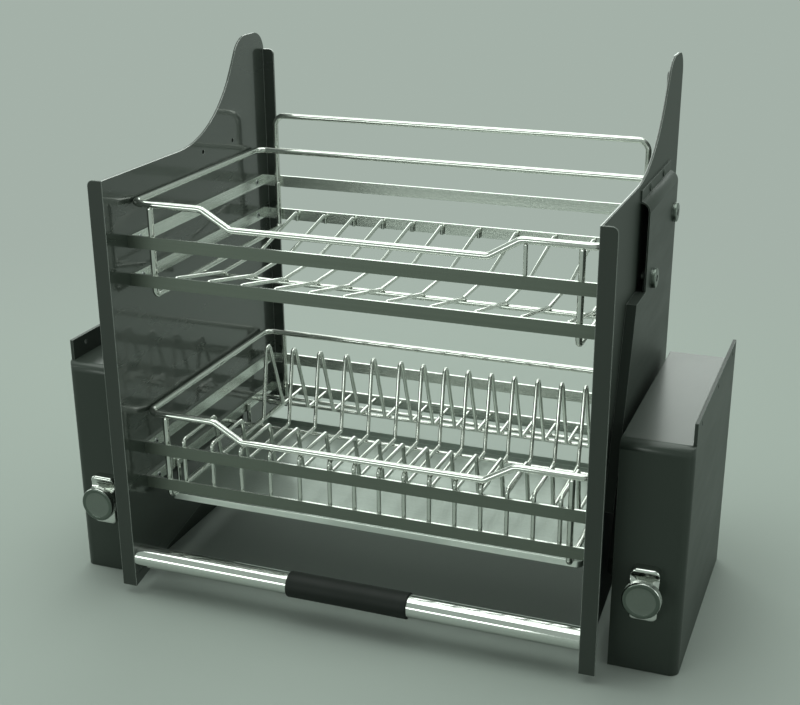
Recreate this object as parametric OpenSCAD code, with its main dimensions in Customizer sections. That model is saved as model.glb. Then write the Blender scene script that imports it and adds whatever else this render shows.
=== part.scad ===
// Pull-down dish rack for a wall cabinet, in its stored position.
// X runs across the rack, Y from its front to its back, Z up from the foot of the side boxes.

/* [Rack] */
// Clear width between the two side panels
rack_inner_w = 413; // [360:1:600]
// Depth of the side panels
rack_depth = 302.4; // [290:0.1:330]
// Height of the side panels' foot above the foot of the boxes
rack_lift = 8; // [4:0.5:20]
// Sheet thickness of the side panels
panel_t = 2; // [1.5:0.1:3]
// Height of the panels at their front
panel_front_h = 375.2; // [365:0.1:400]
// Height of the panels' rear lobe
panel_lobe_h = 461.4; // [440:0.1:500]
// Rise of the panels' lower edge from front to back
panel_rise = 63.5; // [30:0.5:64]
// Width of the front flanges, turned outwards
front_flange_w = 13.8; // [10:0.1:14.5]
// Width of the rear flanges, turned inwards
rear_flange_w = 11.3; // [8:0.1:14]

/* [Handle] */
// Outer diameter of the handle tube
handle_d = 20; // [16:0.5:24]
// Wall of the handle tube
handle_wall = 1.2; // [0.8:0.1:2]
// Height of the handle's axis above the panels' foot
handle_rise = 27; // [20:0.5:45]
// Length of the grip sleeve
grip_l = 112; // [80:1:200]
// Wall of the grip sleeve
grip_wall = 1.6; // [1:0.1:4]

/* [Baskets] */
// Height from the lower basket to the upper basket
basket_pitch = 191.1; // [185:0.1:200]
// Height of the lower basket's lower band above the panels' foot
basket_rise = 86.3; // [80:0.1:92]
// Distance from the panels' front to the baskets' front bars
basket_setback = 32; // [26:0.5:40]
// Distance from the baskets' rear bars to the panels' rear edge
basket_rear_gap = 15.9; // [12:0.1:30]
// Height of a flat band
band_h = 10.9; // [8:0.1:14]
// Thickness of a flat band
band_t = 2.5; // [2:0.1:4]
// Height from the lower to the upper band of a basket
band_pitch = 33.7; // [28:0.1:40]
// Diameter of the top rods
top_rod_d = 6; // [4:0.1:8]
// Height of a top rod's axis above its lower band's foot
top_rod_rise = 71.7; // [66:0.1:80]
// Depth of the dip in the front of the top rods
dip_depth = 15.5; // [8:0.5:20]
// Diameter of the frame rods
frame_rod_d = 5.5; // [5:0.1:7]
// Distance from the side panels to the axes of the frame rods
frame_inset = 20.4; // [16:0.1:50]
// Diameter of the plate wires and floor wires
wire_d = 3.8; // [3:0.1:5]
// Height of the rear guard's top above the panels' foot
guard_rise = 382.8; // [370:0.1:400]
// Diameter of the rear guard's rod
guard_d = 5.5; // [4:0.1:6]

/* [Drip tray] */
// Distance from the tray's rear to the baskets' rear bars
tray_rear_gap = 43.5; // [36:0.5:90]
// Height of the tray's walls
tray_h = 6; // [5.5:0.1:10]
// Sheet thickness of the tray
tray_t = 0.8; // [0.6:0.1:1.2]
// Gap between the tray's rim and the frame rods above it
tray_gap = 0.5; // [0.4:0.1:1.5]

/* [Side boxes] */
// Gap between a side panel and the box beside it
side_gap = 14.8; // [14.8:0.1:18]
// Width of a side box with its wall plate
box_w = 58.7; // [54:0.1:70]
// Height of a side box
box_h = 205; // [190:0.5:240]
// Distance from the panels' front to the boxes' front
box_setback = 34; // [32:0.5:36]
// Depth of a side box
box_depth = 215; // [205:0.5:240]
// Sheet thickness of the housing
box_t = 1.5; // [1:0.1:2]
// Thickness of the wall plate
plate_t = 3; // [2:0.1:4]
// Height of the wall plate above its box
plate_rise = 18.4; // [16:0.1:30]
// Distance between neighbouring wall screw holes
wall_hole_pitch = 84; // [70:1:90]
// Diameter of the wall screw holes
wall_hole_d = 4.5; // [4:0.1:6]

/* [Knobs] */
// Diameter of the knob
knob_d = 32; // [26:0.5:40]
// Thickness of the knob's disc
knob_t = 8; // [4:0.5:9]
// Height of the knob's axis above the box's foot
knob_rise = 76; // [68:0.5:78]
// Diameter of the adjusting screw
adjuster_d = 8; // [6:0.5:10]

/* [Arms] */
// Length of the arms from pivot to pivot, seen across
arm_run = 82; // [70:0.5:90]
// Height of the upper pivots above the lower pivots
arm_height = 229; // [215:0.5:235]
// Distance from the panels' front to the front lower pivot
pivot_setback = 82; // [80:0.5:86]
// Height of the front lower pivot above the box's foot
pivot_rise = 70; // [66:0.5:74]
// Distance back from the front pivots to the rear pivots
pivot_run = 85.5; // [80:0.5:90]
// Height of the rear pivots above the front pivots
pivot_height = 36.5; // [34:0.5:38]
// Width of an arm
arm_w = 20; // [16:0.5:20]
// Thickness of an arm
arm_t = 4; // [3:0.1:4.2]
// Diameter of the lower axles
axle_d = 12; // [10:0.5:14]
// Diameter of the upper pivot pins
pin_d = 8; // [6:0.5:9]
// Diameter of the pivot pins' heads
pin_head_d = 17; // [14:0.5:18]

/* [Hidden] */
$fn = 48;
overrun = 1;
fit = 0.05;
seat = 0.3;

// Places derived from the sizes above
web_in = rack_inner_w / 2;
web_out = web_in + panel_t;
box_in = web_out + side_gap;
box_out = box_in + box_w;
depth_middle = (rack_depth - grip_wall) / 2;
foot = rack_lift;

// Side panels
sweep_r = 125;
lobe_slope = 57;
lobe_front_r = 28.3;
lobe_rear_r = 19.4;
lobe_flat = 17.3;
flange_corner_r = 5;
rear_flange_drop = 17.4;
arc_steps = 12;

// Handle
handle_y = handle_d / 2;
handle_z = foot + handle_rise;
handle_screw_d = 5;
handle_screw_head_d = 10;
handle_screw_head_t = 2;
handle_plug_l = 12;
grip_end_share = 0.45;
grip_end_r = grip_wall * grip_end_share;

// Baskets
basket_depth = rack_depth - basket_setback - basket_rear_gap;
basket_back = basket_setback + basket_depth;
band_in = web_in - band_t;
lower_z = foot + basket_rise;
upper_z = lower_z + basket_pitch;
post_y = basket_setback + band_t + fit + frame_rod_d / 2;
post_back_y = basket_back - band_t - fit - frame_rod_d / 2;
post_x = web_in - frame_inset;
run_drop = 7.8;
elbow_r = 5;
bend_steps = 2;
wire_sides = 6;
top_rod_sides = 12;
across_wire = [1, 0, 0];
across_top_rod = [0, 0, 1];
rod_corner_r = 10;
dip_inset = 48.1;
dip_run = 26;
dip_outer = post_x - dip_inset;
dip_inner = dip_outer - dip_run;
rail_d = 5;
rail_z = -run_drop - frame_rod_d / 2 - fit - rail_d / 2;
floor_z = rail_z + rail_d / 2 + fit + wire_d / 2;
wire_y = basket_setback + band_t + fit + wire_d / 2;
wire_back_y = basket_back - band_t - fit - wire_d / 2;
rail_end = 6;
top_rod_side = web_in - seat - top_rod_d / 2;
top_rod_back = post_back_y - frame_rod_d / 2 - fit - top_rod_d / 2;

// Upper basket's floor wires: two groups with their own spacing
floor_left_inset = 19.9;
floor_left_end = 11.2;
floor_left_count = 6;
floor_right_start = 26.4;
floor_right_inset = 8.9;
floor_right_count = 5;
floor_top = 9.5;
floor_slope_run = 85;
floor_rail_inset = 93;
stay_inset = 44.1;
stay_d = 3.5;

// Lower basket's plate wires: two groups with their own spacing
plate_left_inset = 17.3;
plate_left_end = 27.3;
plate_left_count = 6;
plate_right_start = 4.3;
plate_right_inset = 8.4;
plate_right_count = 9;
plate_leg_foot = 4;
plate_ledge = 50.7;
plate_ledge_end = 62.5;
plate_floor = 7.7;
plate_floor_start = 71;
plate_fin_h = 91.7;
plate_fin_back = 48;
plate_fin_top_back = 78;
plate_fin_front = 94;
fin_r = 4;
floor_rail_d = 4;
floor_rail_front = 78;
floor_rail_middle = 100.5;
floor_rail_rear = 36.5;
floor_rail_back = 24;
tray_rail_d = 4;
tray_rail_r = 5;
tray_rail_front = 48;
tray_rail_back = 61.5;
tray_rail_x = band_in - fit - tray_rail_d / 2;

// Screws of the baskets
screw_d = 4;
screw_head_d = 6;
screw_head_t = 0.8;
screw_inset = 16;

// Drip tray
tray_setback = 49;
tray_side_gap = 5;
tray_corner_r = 6;
tray_depth = basket_back - tray_rear_gap - tray_setback;
tray_half = tray_rail_x - tray_rail_d / 2 - tray_side_gap;
tray_top = lower_z - run_drop - frame_rod_d / 2 - tray_gap;
tray_z = tray_top - tray_h;

// Side boxes
box_corner_r = 8;
plate_front = box_setback + box_corner_r;
wall_hole_lift = 11;
wall_hole_z = box_h + wall_hole_lift;
wall_hole_middle = 112;
knob_x = (box_in + box_out - plate_t) / 2;
knob_front = 14.5;
knob_edge_r = 2;
knob_neck_d = 14;
knob_base_w = 24;
knob_base_h = 47;
knob_base_t = 9.3;
knob_base_r = 5;
knob_groove_r = 7;
knob_groove_depth = 2.5;
knob_groove_rise = 15;

// Mechanism inside the boxes
spring_turn_count = 6;
spring_strip = 1.6;
spring_w = 16;
spring_out_r = 28;
spring_leg = 14;
spring_steps = 18;
arbor_d = 18;
arbor_w = 21;
block_w = 16;
block_h = 24;
block_l = 11;
block_back = pivot_setback - spring_out_r - spring_strip / 2 - seat;
adjuster_end_gap = 3;
damper_d = 44;
damper_w = 22;
bush_d = 18;
bush_flange_d = 24;
bush_flange_t = 2;
bush_l = 8;
bush_lead = 0.2;
axle_end_gap = 1;

// Arms and their covers
front_low = [pivot_setback, pivot_rise];
rear_low = front_low + [pivot_run, pivot_height];
front_high = front_low + [arm_run, arm_height];
rear_high = rear_low + [arm_run, arm_height];
arm_length = norm([arm_run, arm_height]);
arm_gap = 3;
arm_x = web_out + arm_gap;
eye_r = 11;
hub_r = 12;
hub_gap = 0.5;
open_pivot_gap = 0.5;
collar_d = 12;
pin_head_t = 4;
pin_socket_d = 6;
pin_socket_depth = 2.5;
cover_t = 1.5;
cover_standoff = 9;
cover_out = web_out + cover_standoff;
cover_lead = 27;
cover_front = front_high[0] - cover_lead;
cover_trail = 12.5;
cover_back = rear_high[0] + cover_trail;
cover_rise = 371;
cover_top = foot + cover_rise;
cover_flange_h = 9;
cover_hole_z = cover_top - cover_flange_h / 2;
cover_shoulder_r = 9;
cover_step_rise = 286;
cover_step_z = foot + cover_step_rise;
cover_step_run = 36;
cover_foot_lift = 23.5;
cover_foot_z = rear_low[1] + cover_foot_lift;
cover_slant_run = 47;
cover_return_gap = 0.3;
cover_hole_inset = 33;
cover_hole_run = 58;
cover_screw_d = 4;
cover_screw_head_d = 6.5;
cover_screw_head_t = 1.2;

painted = [0.29, 0.33, 0.34];
steel = [0.78, 0.79, 0.78];
chrome = [0.86, 0.87, 0.88];
hidden_steel = [0.55, 0.56, 0.58];
rubber = [0.07, 0.07, 0.08];
bronze = [0.62, 0.5, 0.3];

function unit(v) = v / norm(v);
function arc_points(centre, r, from, to) = [
    for (i = [0:arc_steps])
        let (a = from + (to - from) * i / arc_steps)
            centre + r * [cos(a), sin(a)]
];

// Places of a group of wires, evenly spaced from the first to the last
function group_places(from, to, count) = [
    for (i = [0:count - 1]) from + (to - from) * i / (count - 1)
];

// Shapes are drawn with Y measured from the panels' front, then centred
module from_front() {
    translate([0, -depth_middle, 0]) children();
}

// The right side is drawn, and the left side is its mirror image
module on_right() {
    from_front() children();
}

module on_left() {
    from_front() mirror([1, 0, 0]) children();
}

module cylinder_x(x0, x1, y, z, d) {
    translate([x0, y, z]) rotate([0, 90, 0]) cylinder(h = x1 - x0, d = d);
}

module cylinder_y(y0, y1, x, z, d) {
    translate([x, y0, z]) rotate([-90, 0, 0]) cylinder(h = y1 - y0, d = d);
}

// Extrudes an outline drawn in Y and Z from x0 to x1
module slab_x(x0, x1) {
    translate([x0, 0, 0]) rotate([90, 0, 90]) linear_extrude(x1 - x0) children();
}

// Round bar along one straight stretch
module straight_rod(from, to, d) {
    run = to - from;
    translate(from)
        rotate([0, acos(run[2] / norm(run)), atan2(run[1], run[0])])
            cylinder(h = norm(run), d = d);
}

// Round bend that turns from one direction to the other at a corner
module rod_bend(corner, dir_in, dir_out, r, d) {
    turn = acos(dir_in * dir_out);
    axis = unit(cross(dir_in, dir_out));
    start = corner - dir_in * r * tan(turn / 2);
    inward = cross(axis, dir_in);
    centre = start + r * inward;
    multmatrix([
        [-inward[0], dir_in[0], axis[0], centre[0]],
        [-inward[1], dir_in[1], axis[1], centre[1]],
        [-inward[2], dir_in[2], axis[2], centre[2]],
        [0, 0, 0, 1]
    ])
        rotate_extrude(angle = turn) translate([r, 0]) circle(d = d, $fn = 24);
}

function step_dir(pts, i) = unit(pts[(i + 1) % len(pts)] - pts[i]);
function dir_before(pts, i) = step_dir(pts, (i + len(pts) - 1) % len(pts));

// Round rod through points whose corners are all square
module square_rod(pts, d, r) {
    last = len(pts) - 1;
    for (i = [0:last - 1])
        straight_rod(
            pts[i] + step_dir(pts, i) * (i > 0 ? r : 0),
            pts[i + 1] - step_dir(pts, i) * (i + 1 < last ? r : 0),
            d, $fn = 24
        );
    for (i = [1:last - 1])
        rod_bend(pts[i], dir_before(pts, i), step_dir(pts, i), r, d);
}

// Points of a bend that rounds off one corner of a path
function bend_points(corner, dir_in, dir_out, r) =
    let (
        turn = acos(dir_in * dir_out),
        inward = unit(dir_out - dir_in * (dir_in * dir_out)),
        start = corner - dir_in * r * tan(turn / 2)
    )
    [
        for (i = [0:bend_steps])
            let (a = turn * i / bend_steps)
                start + r * inward * (1 - cos(a)) + r * dir_in * sin(a)
    ];

function rounded_path(pts, r, closed) = [
    for (i = [0:len(pts) - 1])
        if (!closed && (i == 0 || i == len(pts) - 1)) pts[i]
        else each bend_points(pts[i], dir_before(pts, i), step_dir(pts, i), r)
];

// Direction of a path at one of its points
function path_dir(path, i, closed) =
    let (n = len(path))
        closed ? unit(path[(i + 1) % n] - path[(i + n - 1) % n])
        : unit(path[min(i + 1, n - 1)] - path[max(i - 1, 0)]);

// Rod through points with any corners; across is a direction that the path never takes
module swept_rod(pts, d, r, across, sides, closed = false) {
    path = rounded_path(pts, r, closed);
    n = len(path);
    rings = closed ? n : n - 1;
    vertices = [
        for (i = [0:n - 1])
            let (
                along = path_dir(path, i, closed),
                side = unit(cross(along, across)),
                rise = cross(side, along)
            )
                for (k = [0:sides - 1])
                    let (a = 360 * k / sides)
                        path[i] + d / 2 * (side * cos(a) + rise * sin(a))
    ];
    walls = [
        for (i = [0:rings - 1], k = [0:sides - 1])
            let (
                here = i * sides,
                next = ((i + 1) % n) * sides,
                turn = (k + 1) % sides
            )
                each [
                    [here + k, here + turn, next + k],
                    [here + turn, next + turn, next + k]
                ]
    ];
    caps = closed ? [] : [
        [for (k = [sides - 1:-1:0]) k],
        [for (k = [0:sides - 1]) (n - 1) * sides + k]
    ];
    polyhedron(vertices, concat(walls, caps));
}

// Outline of the panel's web in Y and Z, above the panels' foot
module web_outline() {
    flat_back = rack_depth - lobe_rear_r;
    flat_front = flat_back - lobe_flat;
    nose = [flat_front, panel_lobe_h - lobe_front_r];
    rise_end = nose + lobe_front_r * [-sin(lobe_slope), cos(lobe_slope)];
    sweep_top = panel_front_h + sweep_r * (1 - cos(lobe_slope));
    sweep_end = rise_end[0] - (rise_end[1] - sweep_top) / tan(lobe_slope);
    sweep_centre = [sweep_end - sweep_r * sin(lobe_slope), panel_front_h + sweep_r];
    polygon(concat(
        [[0, 0], [rack_depth, panel_rise]],
        arc_points([flat_back, panel_lobe_h - lobe_rear_r], lobe_rear_r, 0, 90),
        arc_points(nose, lobe_front_r, 90, 90 + lobe_slope),
        arc_points(sweep_centre, sweep_r, lobe_slope - 90, -90),
        [[0, panel_front_h]]
    ));
}

// Rectangle in X and Z with one rounded upper corner, on the right or the left
module flange_outline(x0, x1, z0, z1, round_right) {
    centre_x = round_right ? x1 - flange_corner_r : x0 + flange_corner_r;
    union() {
        translate([x0, z0]) square([x1 - x0, z1 - z0 - flange_corner_r]);
        translate([round_right ? x0 : centre_x, z0])
            square([x1 - x0 - flange_corner_r, z1 - z0]);
        translate([centre_x, z1 - flange_corner_r]) circle(r = flange_corner_r);
    }
}

module side_panel() {
    color(painted)
    difference() {
        union() {
            translate([0, 0, foot]) slab_x(web_in, web_out) web_outline();
            translate([0, panel_t, foot]) rotate([90, 0, 0]) linear_extrude(panel_t)
                flange_outline(web_in, web_in + front_flange_w, 0, panel_front_h, true);
            translate([0, rack_depth, foot]) rotate([90, 0, 0]) linear_extrude(panel_t)
                flange_outline(web_out - panel_t - rear_flange_w, web_out, panel_rise,
                    panel_lobe_h - rear_flange_drop, false);
        }
        basket_screw_holes(lower_z);
        basket_screw_holes(upper_z);
        cylinder_x(web_in - overrun, web_out + overrun, handle_y, handle_z,
            handle_screw_d + 2 * fit);
        for (i = [0, 1])
            cylinder_x(web_in - overrun, web_out + overrun,
                cover_front + cover_hole_inset + i * cover_hole_run, cover_hole_z,
                cover_screw_d + 2 * fit);
    }
}

module basket_screw_holes(z) {
    for (level = [0, band_pitch], y = [basket_setback + screw_inset, basket_back - screw_inset])
        cylinder_x(band_in - overrun, web_out + overrun, y, z + level + band_h / 2,
            screw_d + 2 * fit);
}

module basket_screws(z) {
    color(hidden_steel)
    from_front()
        for (side = [0, 1], level = [0, band_pitch],
                y = [basket_setback + screw_inset, basket_back - screw_inset])
            mirror([side, 0, 0]) {
                cylinder_x(band_in - screw_head_t, band_in, y, z + level + band_h / 2,
                    screw_head_d);
                cylinder_x(band_in, web_out, y, z + level + band_h / 2, screw_d);
            }
}

// Cover of the arms' upper ends, folded from one sheet
module arm_cover() {
    shoulder_z = cover_top - cover_flange_h - cover_shoulder_r;
    slant_edge = [
        [cover_front - cover_step_run, cover_step_z],
        [cover_front - cover_step_run - cover_slant_run, cover_foot_z]
    ];
    return_in = web_out + cover_return_gap;
    color(painted)
    difference() {
        union() {
            translate([web_out, cover_front, cover_top - cover_flange_h - cover_t])
                cube([cover_t, cover_back - cover_front, cover_flange_h + cover_t]);
            translate([web_out, cover_back, shoulder_z]) rotate([90, 0, 0])
                linear_extrude(cover_back - cover_front)
                    intersection() {
                        difference() {
                            circle(r = cover_shoulder_r);
                            circle(r = cover_shoulder_r - cover_t);
                        }
                        square(cover_shoulder_r);
                    }
            slab_x(cover_out - cover_t, cover_out)
                polygon([
                    [cover_front, shoulder_z],
                    [cover_front, cover_step_z],
                    slant_edge[0],
                    slant_edge[1],
                    [cover_back, cover_foot_z],
                    [cover_back, shoulder_z]
                ]);
            slab_x(return_in, cover_out)
                polygon([
                    slant_edge[0],
                    slant_edge[1],
                    slant_edge[1] + [cover_t, 0],
                    slant_edge[0] + [cover_t, 0]
                ]);
            translate([return_in, cover_front - cover_step_run, cover_step_z - cover_t])
                cube([cover_out - return_in, cover_step_run, cover_t]);
        }
        for (p = [front_high, rear_high])
            cylinder_x(web_out, cover_out + overrun, p[0], p[1], pin_d + 2 * fit);
        for (i = [0, 1])
            cylinder_x(web_out - overrun, cover_out,
                cover_front + cover_hole_inset + i * cover_hole_run, cover_hole_z,
                cover_screw_d + 2 * fit);
    }
}

module cover_screws() {
    color(hidden_steel)
    for (i = [0, 1]) {
        y = cover_front + cover_hole_inset + i * cover_hole_run;
        cylinder_x(web_in, web_out + cover_t, y, cover_hole_z, cover_screw_d);
        cylinder_x(web_out + cover_t, web_out + cover_t + cover_screw_head_t, y, cover_hole_z,
            cover_screw_head_d);
    }
}

module pivot_pins() {
    color(steel)
    for (p = [front_high, rear_high])
        difference() {
            union() {
                cylinder_x(web_out, arm_x - seat, p[0], p[1], collar_d);
                cylinder_x(web_out, cover_out, p[0], p[1], pin_d);
                cylinder_x(cover_out, cover_out + pin_head_t, p[0], p[1], pin_head_d);
            }
            cylinder_x(cover_out + pin_head_t - pin_socket_depth, cover_out + pin_head_t + overrun,
                p[0], p[1], pin_socket_d, $fn = 6);
        }
}

// Flat arm from its lower axle to its upper pin
module arm(low, pin_gap) {
    high = low + [arm_run, arm_height];
    color(painted)
    difference() {
        union() {
            slab_x(arm_x, arm_x + arm_t)
                union() {
                    translate(low) circle(r = eye_r);
                    translate(high) circle(r = eye_r);
                    translate(low) rotate(atan2(arm_height, arm_run))
                        translate([0, -arm_w / 2]) square([arm_length, arm_w]);
                }
            cylinder_x(arm_x + arm_t, box_in - hub_gap, low[0], low[1], 2 * hub_r);
        }
        cylinder_x(arm_x - overrun, box_in, low[0], low[1], axle_d + 2 * fit);
        cylinder_x(arm_x - overrun, arm_x + arm_t + overrun, high[0], high[1],
            pin_d + 2 * pin_gap);
    }
}

module front_axle() {
    color(hidden_steel)
    union() {
        cylinder_x(arm_x, box_out - plate_t - axle_end_gap, front_low[0], front_low[1], axle_d);
        cylinder_x(knob_x - arbor_w / 2, knob_x + arbor_w / 2, front_low[0], front_low[1], arbor_d);
    }
}

module rear_axle() {
    color(hidden_steel)
    cylinder_x(arm_x, box_out - plate_t - axle_end_gap, rear_low[0], rear_low[1], axle_d);
}

// Bush whose flange lies on the inside of the box
module flanged_bush(p) {
    x = box_in + box_t;
    start = box_in - bush_lead;
    difference() {
        union() {
            cylinder_x(start, x + bush_l, p[0], p[1], bush_d);
            cylinder_x(x, x + bush_flange_t, p[0], p[1], bush_flange_d);
        }
        cylinder_x(start - overrun, x + bush_l + overrun, p[0], p[1], axle_d + 2 * fit);
    }
}

module axle_bushes() {
    color(bronze) {
        flanged_bush(front_low);
        flanged_bush(rear_low);
        plain_bush(box_out - plate_t - bush_l, front_low);
    }
}

module plain_bush(x, p) {
    difference() {
        cylinder_x(x, x + bush_l, p[0], p[1], bush_d);
        cylinder_x(x - overrun, x + bush_l + overrun, p[0], p[1], axle_d + 2 * fit);
    }
}

module damper() {
    color(rubber)
    difference() {
        cylinder_x(box_out - plate_t - damper_w, box_out - plate_t, rear_low[0], rear_low[1],
            damper_d);
        cylinder_x(box_out - plate_t - damper_w - overrun, box_out, rear_low[0], rear_low[1],
            axle_d + 2 * fit);
    }
}

// Middle line of the spring at a turn angle, from the arbor outwards
function spring_r(a) =
    let (inner = arbor_d / 2 + seat + spring_strip / 2, sweep = 360 * spring_turn_count)
        inner + (spring_out_r - inner) * a / sweep;
function spring_edge(a, side) = (spring_r(a) + side * spring_strip / 2) * [cos(a + 180), sin(a + 180)];

module balance_spring() {
    steps = spring_steps * spring_turn_count;
    color(hidden_steel)
    slab_x(knob_x - spring_w / 2, knob_x + spring_w / 2)
        translate(front_low)
            union() {
                polygon(concat(
                    [for (i = [0:steps]) spring_edge(360 * i / spring_steps, 1)],
                    [for (i = [steps:-1:0]) spring_edge(360 * i / spring_steps, -1)]
                ));
                translate([-spring_out_r - spring_strip / 2, -spring_leg])
                    square([spring_strip, spring_leg]);
            }
}

module spring_block() {
    color(bronze)
    difference() {
        translate([knob_x - block_w / 2, block_back - block_l, knob_rise - block_h / 2])
            cube([block_w, block_l, block_h]);
        cylinder_y(block_back - block_l - overrun, block_back + overrun, knob_x, knob_rise,
            adjuster_d + 2 * fit);
    }
}

module adjusting_screw() {
    color(hidden_steel)
    cylinder_y(knob_front + knob_t, block_back - adjuster_end_gap, knob_x, knob_rise, adjuster_d);
}

module knob() {
    color(chrome)
    translate([knob_x, knob_front, knob_rise]) rotate([-90, 0, 0])
        difference() {
            union() {
                rotate_extrude()
                    union() {
                        square([knob_d / 2 - knob_edge_r, knob_t]);
                        translate([0, knob_edge_r])
                            square([knob_d / 2, knob_t - 2 * knob_edge_r]);
                        for (y = [knob_edge_r, knob_t - knob_edge_r])
                            translate([knob_d / 2 - knob_edge_r, y]) circle(r = knob_edge_r);
                    }
                cylinder(h = box_setback - knob_base_t - seat - knob_front, d = knob_neck_d);
            }
            translate([0, 0, knob_t])
                cylinder(h = box_setback, d = adjuster_d + 2 * fit);
        }
}

// Escutcheon with a hollow groove above the knob
module knob_base() {
    y0 = box_setback - knob_base_t;
    half = knob_base_w / 2 - knob_base_r;
    z0 = knob_rise - knob_base_h / 2;
    color(chrome)
    difference() {
        union() {
            translate([knob_x - knob_base_w / 2, y0, z0 + knob_base_r])
                cube([knob_base_w, knob_base_t, knob_base_h - 2 * knob_base_r]);
            translate([knob_x - half, y0, z0])
                cube([2 * half, knob_base_t, knob_base_h]);
            for (x = [-half, half], z = [knob_base_r, knob_base_h - knob_base_r])
                cylinder_y(y0, box_setback, knob_x + x, z0 + z, 2 * knob_base_r);
        }
        cylinder_x(knob_x - knob_base_w, knob_x + knob_base_w,
            y0 + knob_groove_depth - knob_groove_r, knob_rise + knob_groove_rise,
            2 * knob_groove_r);
        cylinder_y(y0 - overrun, box_setback + overrun, knob_x, knob_rise,
            adjuster_d + 2 * fit);
    }
}

// Block with a rounded upper front edge and a rounded outer front edge
module box_form(inset) {
    x0 = box_in + inset;
    x1 = box_out - inset;
    y0 = box_setback + inset;
    y1 = box_setback + box_depth - inset;
    z1 = box_h - inset;
    r = box_corner_r - inset;
    intersection() {
        slab_x(x0, x1)
            union() {
                translate([y0 + r, inset]) square([y1 - y0 - r, z1 - inset]);
                translate([y0, inset]) square([y1 - y0, z1 - r - inset]);
                translate([y0 + r, z1 - r]) circle(r = r);
            }
        linear_extrude(box_h)
            union() {
                translate([x0, y0]) square([x1 - x0 - r, y1 - y0]);
                translate([x0, y0 + r]) square([x1 - x0, y1 - y0 - r]);
                translate([x1 - r, y0 + r]) circle(r = r);
            }
    }
}

module housing() {
    plate_in = box_out - plate_t;
    color(painted)
    difference() {
        box_form(0);
        box_form(box_t);
        translate([plate_in, plate_front, -overrun])
            cube([plate_t + overrun, box_depth, box_h + 2 * overrun]);
        translate([box_out - 2 * plate_t, plate_front, box_t])
            cube([2 * plate_t + overrun, box_depth - box_corner_r - box_t, box_h - 2 * box_t]);
        for (p = [front_low, rear_low])
            cylinder_x(box_in - overrun, box_in + box_t + overrun, p[0], p[1], bush_d + 2 * fit);
        cylinder_y(box_setback - overrun, box_setback + box_t + overrun, knob_x, knob_rise,
            adjuster_d + 2 * fit);
    }
}

module wall_plate() {
    color(painted)
    difference() {
        translate([box_out - plate_t, plate_front, 0])
            cube([plate_t, box_depth - box_corner_r, box_h + plate_rise]);
        for (i = [-1, 0, 1])
            cylinder_x(box_out - plate_t - overrun, box_out + overrun,
                box_setback + wall_hole_middle + i * wall_hole_pitch, wall_hole_z, wall_hole_d);
    }
}

module handle_tube() {
    color(steel)
    from_front()
        difference() {
            cylinder_x(-web_in, web_in, handle_y, handle_z, handle_d);
            cylinder_x(-web_in + handle_plug_l, web_in - handle_plug_l, handle_y, handle_z,
                handle_d - 2 * handle_wall);
            for (side = [0, 1])
                mirror([side, 0, 0])
                    cylinder_x(web_in - handle_plug_l - overrun, web_in + overrun, handle_y,
                        handle_z, handle_screw_d + 2 * fit);
        }
}

module handle_screws() {
    color(hidden_steel)
    from_front()
        for (side = [0, 1])
            mirror([side, 0, 0]) {
                cylinder_x(web_in - handle_plug_l, web_out, handle_y, handle_z, handle_screw_d);
                cylinder_x(web_out, web_out + handle_screw_head_t, handle_y, handle_z,
                    handle_screw_head_d);
            }
}

// Sleeve with rounded ends, drawn as a profile turned round the tube
module handle_grip() {
    bore = handle_d / 2 + fit;
    outer = handle_d / 2 + grip_wall;
    color(rubber)
    from_front()
        translate([-grip_l / 2, handle_y, handle_z]) rotate([0, 90, 0])
            rotate_extrude()
                union() {
                    translate([bore, grip_end_r])
                        square([outer - bore, grip_l - 2 * grip_end_r]);
                    translate([bore, 0])
                        square([outer - grip_end_r - bore, grip_l]);
                    for (z = [grip_end_r, grip_l - grip_end_r])
                        translate([outer - grip_end_r, z]) circle(r = grip_end_r);
                }
}

module rear_guard() {
    foot_z = upper_z + band_pitch + band_h / 2 + fit;
    top_z = foot + guard_rise;
    color(steel)
    from_front()
        square_rod([
            [-post_x, post_back_y, foot_z],
            [-post_x, post_back_y, top_z],
            [post_x, post_back_y, top_z],
            [post_x, post_back_y, foot_z]
        ], guard_d, rod_corner_r);
}

// Closed top rod with a dip in its front
module top_rod(z) {
    high = z + top_rod_rise;
    low = high - dip_depth;
    color(steel)
    from_front()
        swept_rod([
            [-dip_inner, post_y, low],
            [-dip_outer, post_y, high],
            [-top_rod_side, post_y, high],
            [-top_rod_side, top_rod_back, high],
            [top_rod_side, top_rod_back, high],
            [top_rod_side, post_y, high],
            [dip_outer, post_y, high],
            [dip_inner, post_y, low]
        ], top_rod_d, rod_corner_r, across_top_rod, top_rod_sides, true);
}

module band(z) {
    translate([0, 0, z])
        linear_extrude(band_h)
            difference() {
                translate([-web_in, basket_setback]) square([rack_inner_w, basket_depth]);
                translate([-band_in, basket_setback + band_t])
                    square([2 * band_in, basket_depth - 2 * band_t]);
            }
}

module bands(z) {
    color(steel)
    from_front()
        difference() {
            union() {
                band(z);
                band(z + band_pitch);
            }
            for (side = [0, 1])
                mirror([side, 0, 0]) basket_screw_holes(z);
        }
}

// Front post, run below the basket and rear post, bent from one rod on each side
module frame_rods(z, rear_top) {
    front_top = z + top_rod_rise - top_rod_d / 2 - fit;
    color(steel)
    from_front()
        for (x = [-post_x, post_x])
            square_rod([
                [x, post_y, front_top],
                [x, post_y, z - run_drop],
                [x, post_back_y, z - run_drop],
                [x, post_back_y, rear_top]
            ], frame_rod_d, elbow_r);
}

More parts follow.
